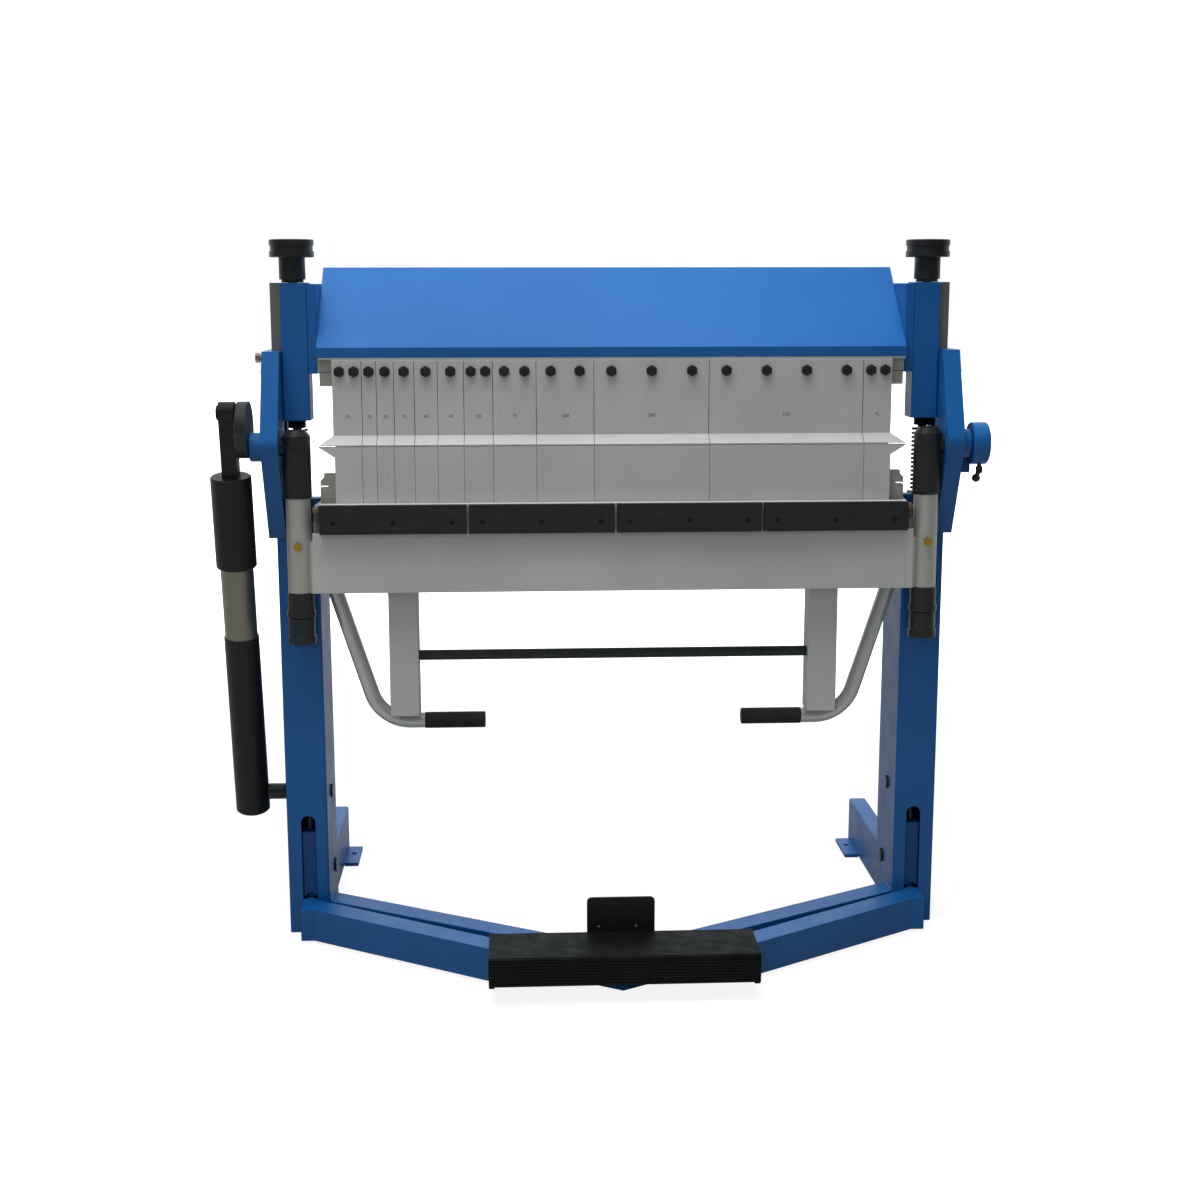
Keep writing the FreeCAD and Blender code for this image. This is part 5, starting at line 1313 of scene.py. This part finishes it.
@dataclass
class PedalWork:
    """Foot pedal, its levers and the release plate."""

    workshop: Workshop
    half: float = 224.5
    front: float = -306.0
    back: float = -190.0
    top: float = -812.0
    apron: float = 48.5
    thick: float = 6.0
    nose: float = 8.0
    rib_pitch: float = 5.0
    rib_deep: float = 1.2
    # A rib's foot, crest and foot again, as shares of the pitch, and whether the point lies in the groove.
    rib: tuple[tuple[float, bool], ...] = ((0.0, True), (0.16, False), (0.74, False), (0.9, True))
    gusset_in: float = 0.3
    gusset_thick: float = 9.0
    gusset_soft: float = 0.6
    gusset_below: float = 4.5
    gusset_foot: Profile = ((-214.0, -887.0), (-160.0, -887.0), (-160.0, -826.0))
    rivet: Profile = ((0.0, -1.0), (2.6, -1.0), (2.6, 0.6), (1.7, 1.4), (0.0, 1.7))
    rivet_steps: int = 16
    rivet_x: tuple[float, float] = (-38.0, 26.0)
    rivet_y: float = -183.0
    rivet_z: float = -806.0

    def along(self, run: float, sunk: float) -> tuple[float, float]:
        """Point of the tread's outer line, from its back edge over the nose and down the apron.

        Args:
            run: Distance along the line.
            sunk: How deep below the surface the point lies.

        Returns:
            Its y and z.
        """
        flat = self.front + self.nose
        level = self.back - flat
        bend = self.nose * math.pi / 2
        if run <= level:
            return self.back - run, self.top - sunk
        if run <= level + bend:
            turn = (run - level) / self.nose
            radius = self.nose - sunk
            return flat - radius * math.sin(turn), self.top - self.nose + radius * math.cos(turn)
        return self.front + sunk, self.top - self.nose - (run - level - bend)

    def tread(self) -> None:
        """Bent tread with fine ribs over its top, nose and apron, closed by a gusset at each end."""
        long = self.back - self.front - self.nose + self.nose * math.pi / 2 + self.apron - self.nose
        side = []
        ribs = int(long / self.rib_pitch)
        for k in range(ribs):
            low = k * long / ribs
            for share, groove in self.rib:
                side.append(self.along(low + share * long / ribs, self.rib_deep if groove else 0.0))
        inner = self.front + self.thick
        hem = self.top - self.apron
        under = ((inner, self.top - self.thick), (self.back, self.top - self.thick))
        side += [(self.front + self.rib_deep, hem), (inner, hem), *under]
        plates = [traced([place(-self.half, y, z) for y, z in side], Vector((2 * self.half * MM, 0.0, 0.0)))]
        gusset = ((inner, hem - self.gusset_below), *self.gusset_foot, *reversed(under))
        for end in SIDES:
            points = [place(end * (self.half - self.gusset_in), y, z) for y, z in gusset]
            plates.append(traced(points, Vector((-end * self.gusset_thick * MM, 0.0, 0.0)), self.gusset_soft))
        piece = joined(plates)
        self.workshop.fit(piece, "ribbed_tread", "pedal", "tread_rubber", PALETTE.tread)
        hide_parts("tread_plate")

    def rivets(self) -> None:
        """Two bright rivets low on the release plate."""
        dome = turned(self.rivet, self.rivet_steps)
        dome.rotation_euler = QUARTER
        settle(dome)
        spots = [place(x, self.rivet_y, self.rivet_z) for x in self.rivet_x]
        self.workshop.fit(joined(copies(dome, spots)), "release_rivets", "release", "zinc", PALETTE.zinc)

    def build(self) -> None:
        """Dress the pedal's nodes and add its tread and rivets."""
        self.workshop.dress(PALETTE.blue, "pedal_levers", "pedal_arms")
        self.workshop.dress(PALETTE.black, "release_plate")
        self.tread()
        self.rivets()


@dataclass
class StrutAndStop:
    """Counterbalance strut on the left and angle stop on the right."""

    workshop: Workshop

    def build(self) -> None:
        """Dress the strut's and the stop's nodes."""
        self.workshop.dress(PALETTE.black, "strut_tube", "strut_upper")
        self.workshop.dress(PALETTE.tube, "strut_liner")
        self.workshop.dress(PALETTE.blue, "stop_collar")
        self.workshop.dress(PALETTE.dark, "stop_screw")


@dataclass(frozen=True)
class Lamp:
    """Soft square lamp."""

    spot: Point
    size: float
    power: float
    mirrored: bool

    def hang(self, aim: Point) -> None:
        """Hang the lamp.

        Args:
            aim: The point it faces.
        """
        bpy.ops.object.light_add(type="AREA", location=self.spot)
        lamp = bpy.context.object
        lamp.data.shape = "SQUARE"
        lamp.data.size = self.size
        lamp.data.energy = self.power
        lamp.visible_glossy = self.mirrored
        lamp.rotation_euler = (Vector(aim) - Vector(self.spot)).to_track_quat("-Z", "Y").to_euler()


@dataclass
class Studio:
    """Floor, lamps, background and camera."""

    eye: Point = (-0.1725, -3.4161, 1.1626)
    turn: Point = (math.radians(79.61), math.radians(0.07), math.radians(-2.85))
    lens: float = 51.36
    sensor: float = 36.0
    sight: float = 50.0
    floor_size: float = 40.0
    floor_sunk: float = 0.0005
    floor_tone: Colour = linear("A0A09E")
    floor_rough: float = 0.9
    floor_shine: float = 0.1
    floor_light: float = 2.2
    floor_glow: float = 0.4
    glow_reach: tuple[float, float] = (1.2, 2.6)
    floor_gloss: float = 0.2
    gloss_y: tuple[float, float] = (-0.8, 0.6)
    soft: float = 0.16
    soft_tone: Colour = (0.95, 0.97, 1.0)
    room_gloss: float = 0.08
    room_way: tuple[float, float] = (-0.35, 0.75)
    room_tone: Colour = (0.88, 0.96, 1.0)
    aim: Point = (0.0, -0.4, 0.7)
    lamps: tuple[Lamp, ...] = (
        Lamp(spot=(-0.4, -0.5, 4.2), size=3.0, power=185.0, mirrored=False),
        Lamp(spot=(-0.9, -1.5, 3.6), size=2.4, power=16.0, mirrored=True),
        Lamp(spot=(-1.2, -4.4, 2.2), size=2.8, power=26.0, mirrored=False),
    )

    def camera(self) -> None:
        """Camera at the photograph's angle."""
        bpy.ops.object.camera_add(location=self.eye, rotation=self.turn)
        camera = bpy.context.object
        camera.data.lens = self.lens
        camera.data.sensor_width = self.sensor
        camera.data.clip_end = self.sight
        bpy.context.scene.camera = camera

    def floor(self) -> None:
        """Pale floor that keeps the machine's shadow and turns into the white background further off."""
        bpy.ops.mesh.primitive_plane_add(size=self.floor_size, location=(0.0, 0.0, -self.floor_sunk))
        floor = bpy.context.object
        floor.name = "studio_floor"
        sheet = Sheet("pale_floor")
        where = sheet.coordinates.outputs["Object"]
        sheet.fill(sheet.shader, {"Base Color": self.floor_tone, "Roughness": self.floor_rough,
                                  "Specular IOR Level": self.floor_shine})
        light = sheet.add("ShaderNodeEmission", {"Strength": self.floor_light})
        far = sheet.tree.nodes.new("ShaderNodeVectorMath")
        far.operation = "LENGTH"
        sheet.join(where, far.inputs[0])
        glow = sheet.levels(far.outputs["Value"], *self.glow_reach, self.floor_glow, 1.0)
        gloss = sheet.levels(sheet.along(where, "Y"), *self.gloss_y, self.room_gloss, self.floor_gloss)
        ray = sheet.tree.nodes.new("ShaderNodeLightPath").outputs
        seen = sheet.work_out(Sum.LARGER, ray["Is Camera Ray"], sheet.work_out(Sum.TIMES, ray["Is Glossy Ray"], gloss))
        clear = sheet.work_out(Sum.LARGER, seen, ray["Is Transmission Ray"])
        mix = sheet.mixed(sheet.work_out(Sum.TIMES, clear, glow), sheet.shader, light)
        sheet.join(mix.outputs[0], sheet.output.inputs["Surface"])
        floor.data.materials.append(sheet.material)

    def world(self) -> None:
        """White background for the camera, a white backdrop and dark room for gloss, and a soft light otherwise."""
        world = bpy.data.worlds.new("studio_world")
        bpy.context.scene.world = world
        world.use_nodes = True
        bench = NodeBench(world.node_tree)
        ray = bench.tree.nodes.new("ShaderNodeLightPath").outputs
        ahead = bench.along(bench.coordinates.outputs["Generated"], "Y")
        room = bench.levels(ahead, *self.room_way, self.room_gloss, 1.0, smooth=True)
        soft = bench.add("ShaderNodeBackground", {"Color": self.soft_tone, "Strength": self.soft})
        mirror = bench.add("ShaderNodeBackground", {"Color": self.room_tone, "Strength": room})
        white = bench.add("ShaderNodeBackground", {"Color": (1.0, 1.0, 1.0), "Strength": 1.0})
        lit = bench.mixed(ray["Is Glossy Ray"], soft, mirror)
        clear = bench.work_out(Sum.LARGER, ray["Is Camera Ray"], ray["Is Transmission Ray"])
        bench.add("ShaderNodeOutputWorld", {"Surface": bench.mixed(clear, lit, white).outputs[0]})

    def build(self) -> None:
        """Set up camera, floor, world and lamps."""
        clear_selection()
        self.camera()
        self.floor()
        self.world()
        for lamp in self.lamps:
            lamp.hang(self.aim)
        bpy.context.scene.view_settings.view_transform = "Standard"


def main() -> None:
    """Build the machine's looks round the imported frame."""
    logging.basicConfig(level=logging.INFO)
    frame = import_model()
    workshop = Workshop(frame)
    clamp = ClampBeam(workshop)
    for part in (StandFrame(workshop, joints=clamp.joints()), clamp, FoldingBeam(workshop), PedalWork(workshop),
                 StrutAndStop(workshop)):
        part.build()
        log.info("finished %s", type(part).__name__)
    Studio().build()


if __name__ == "__main__":
    main()
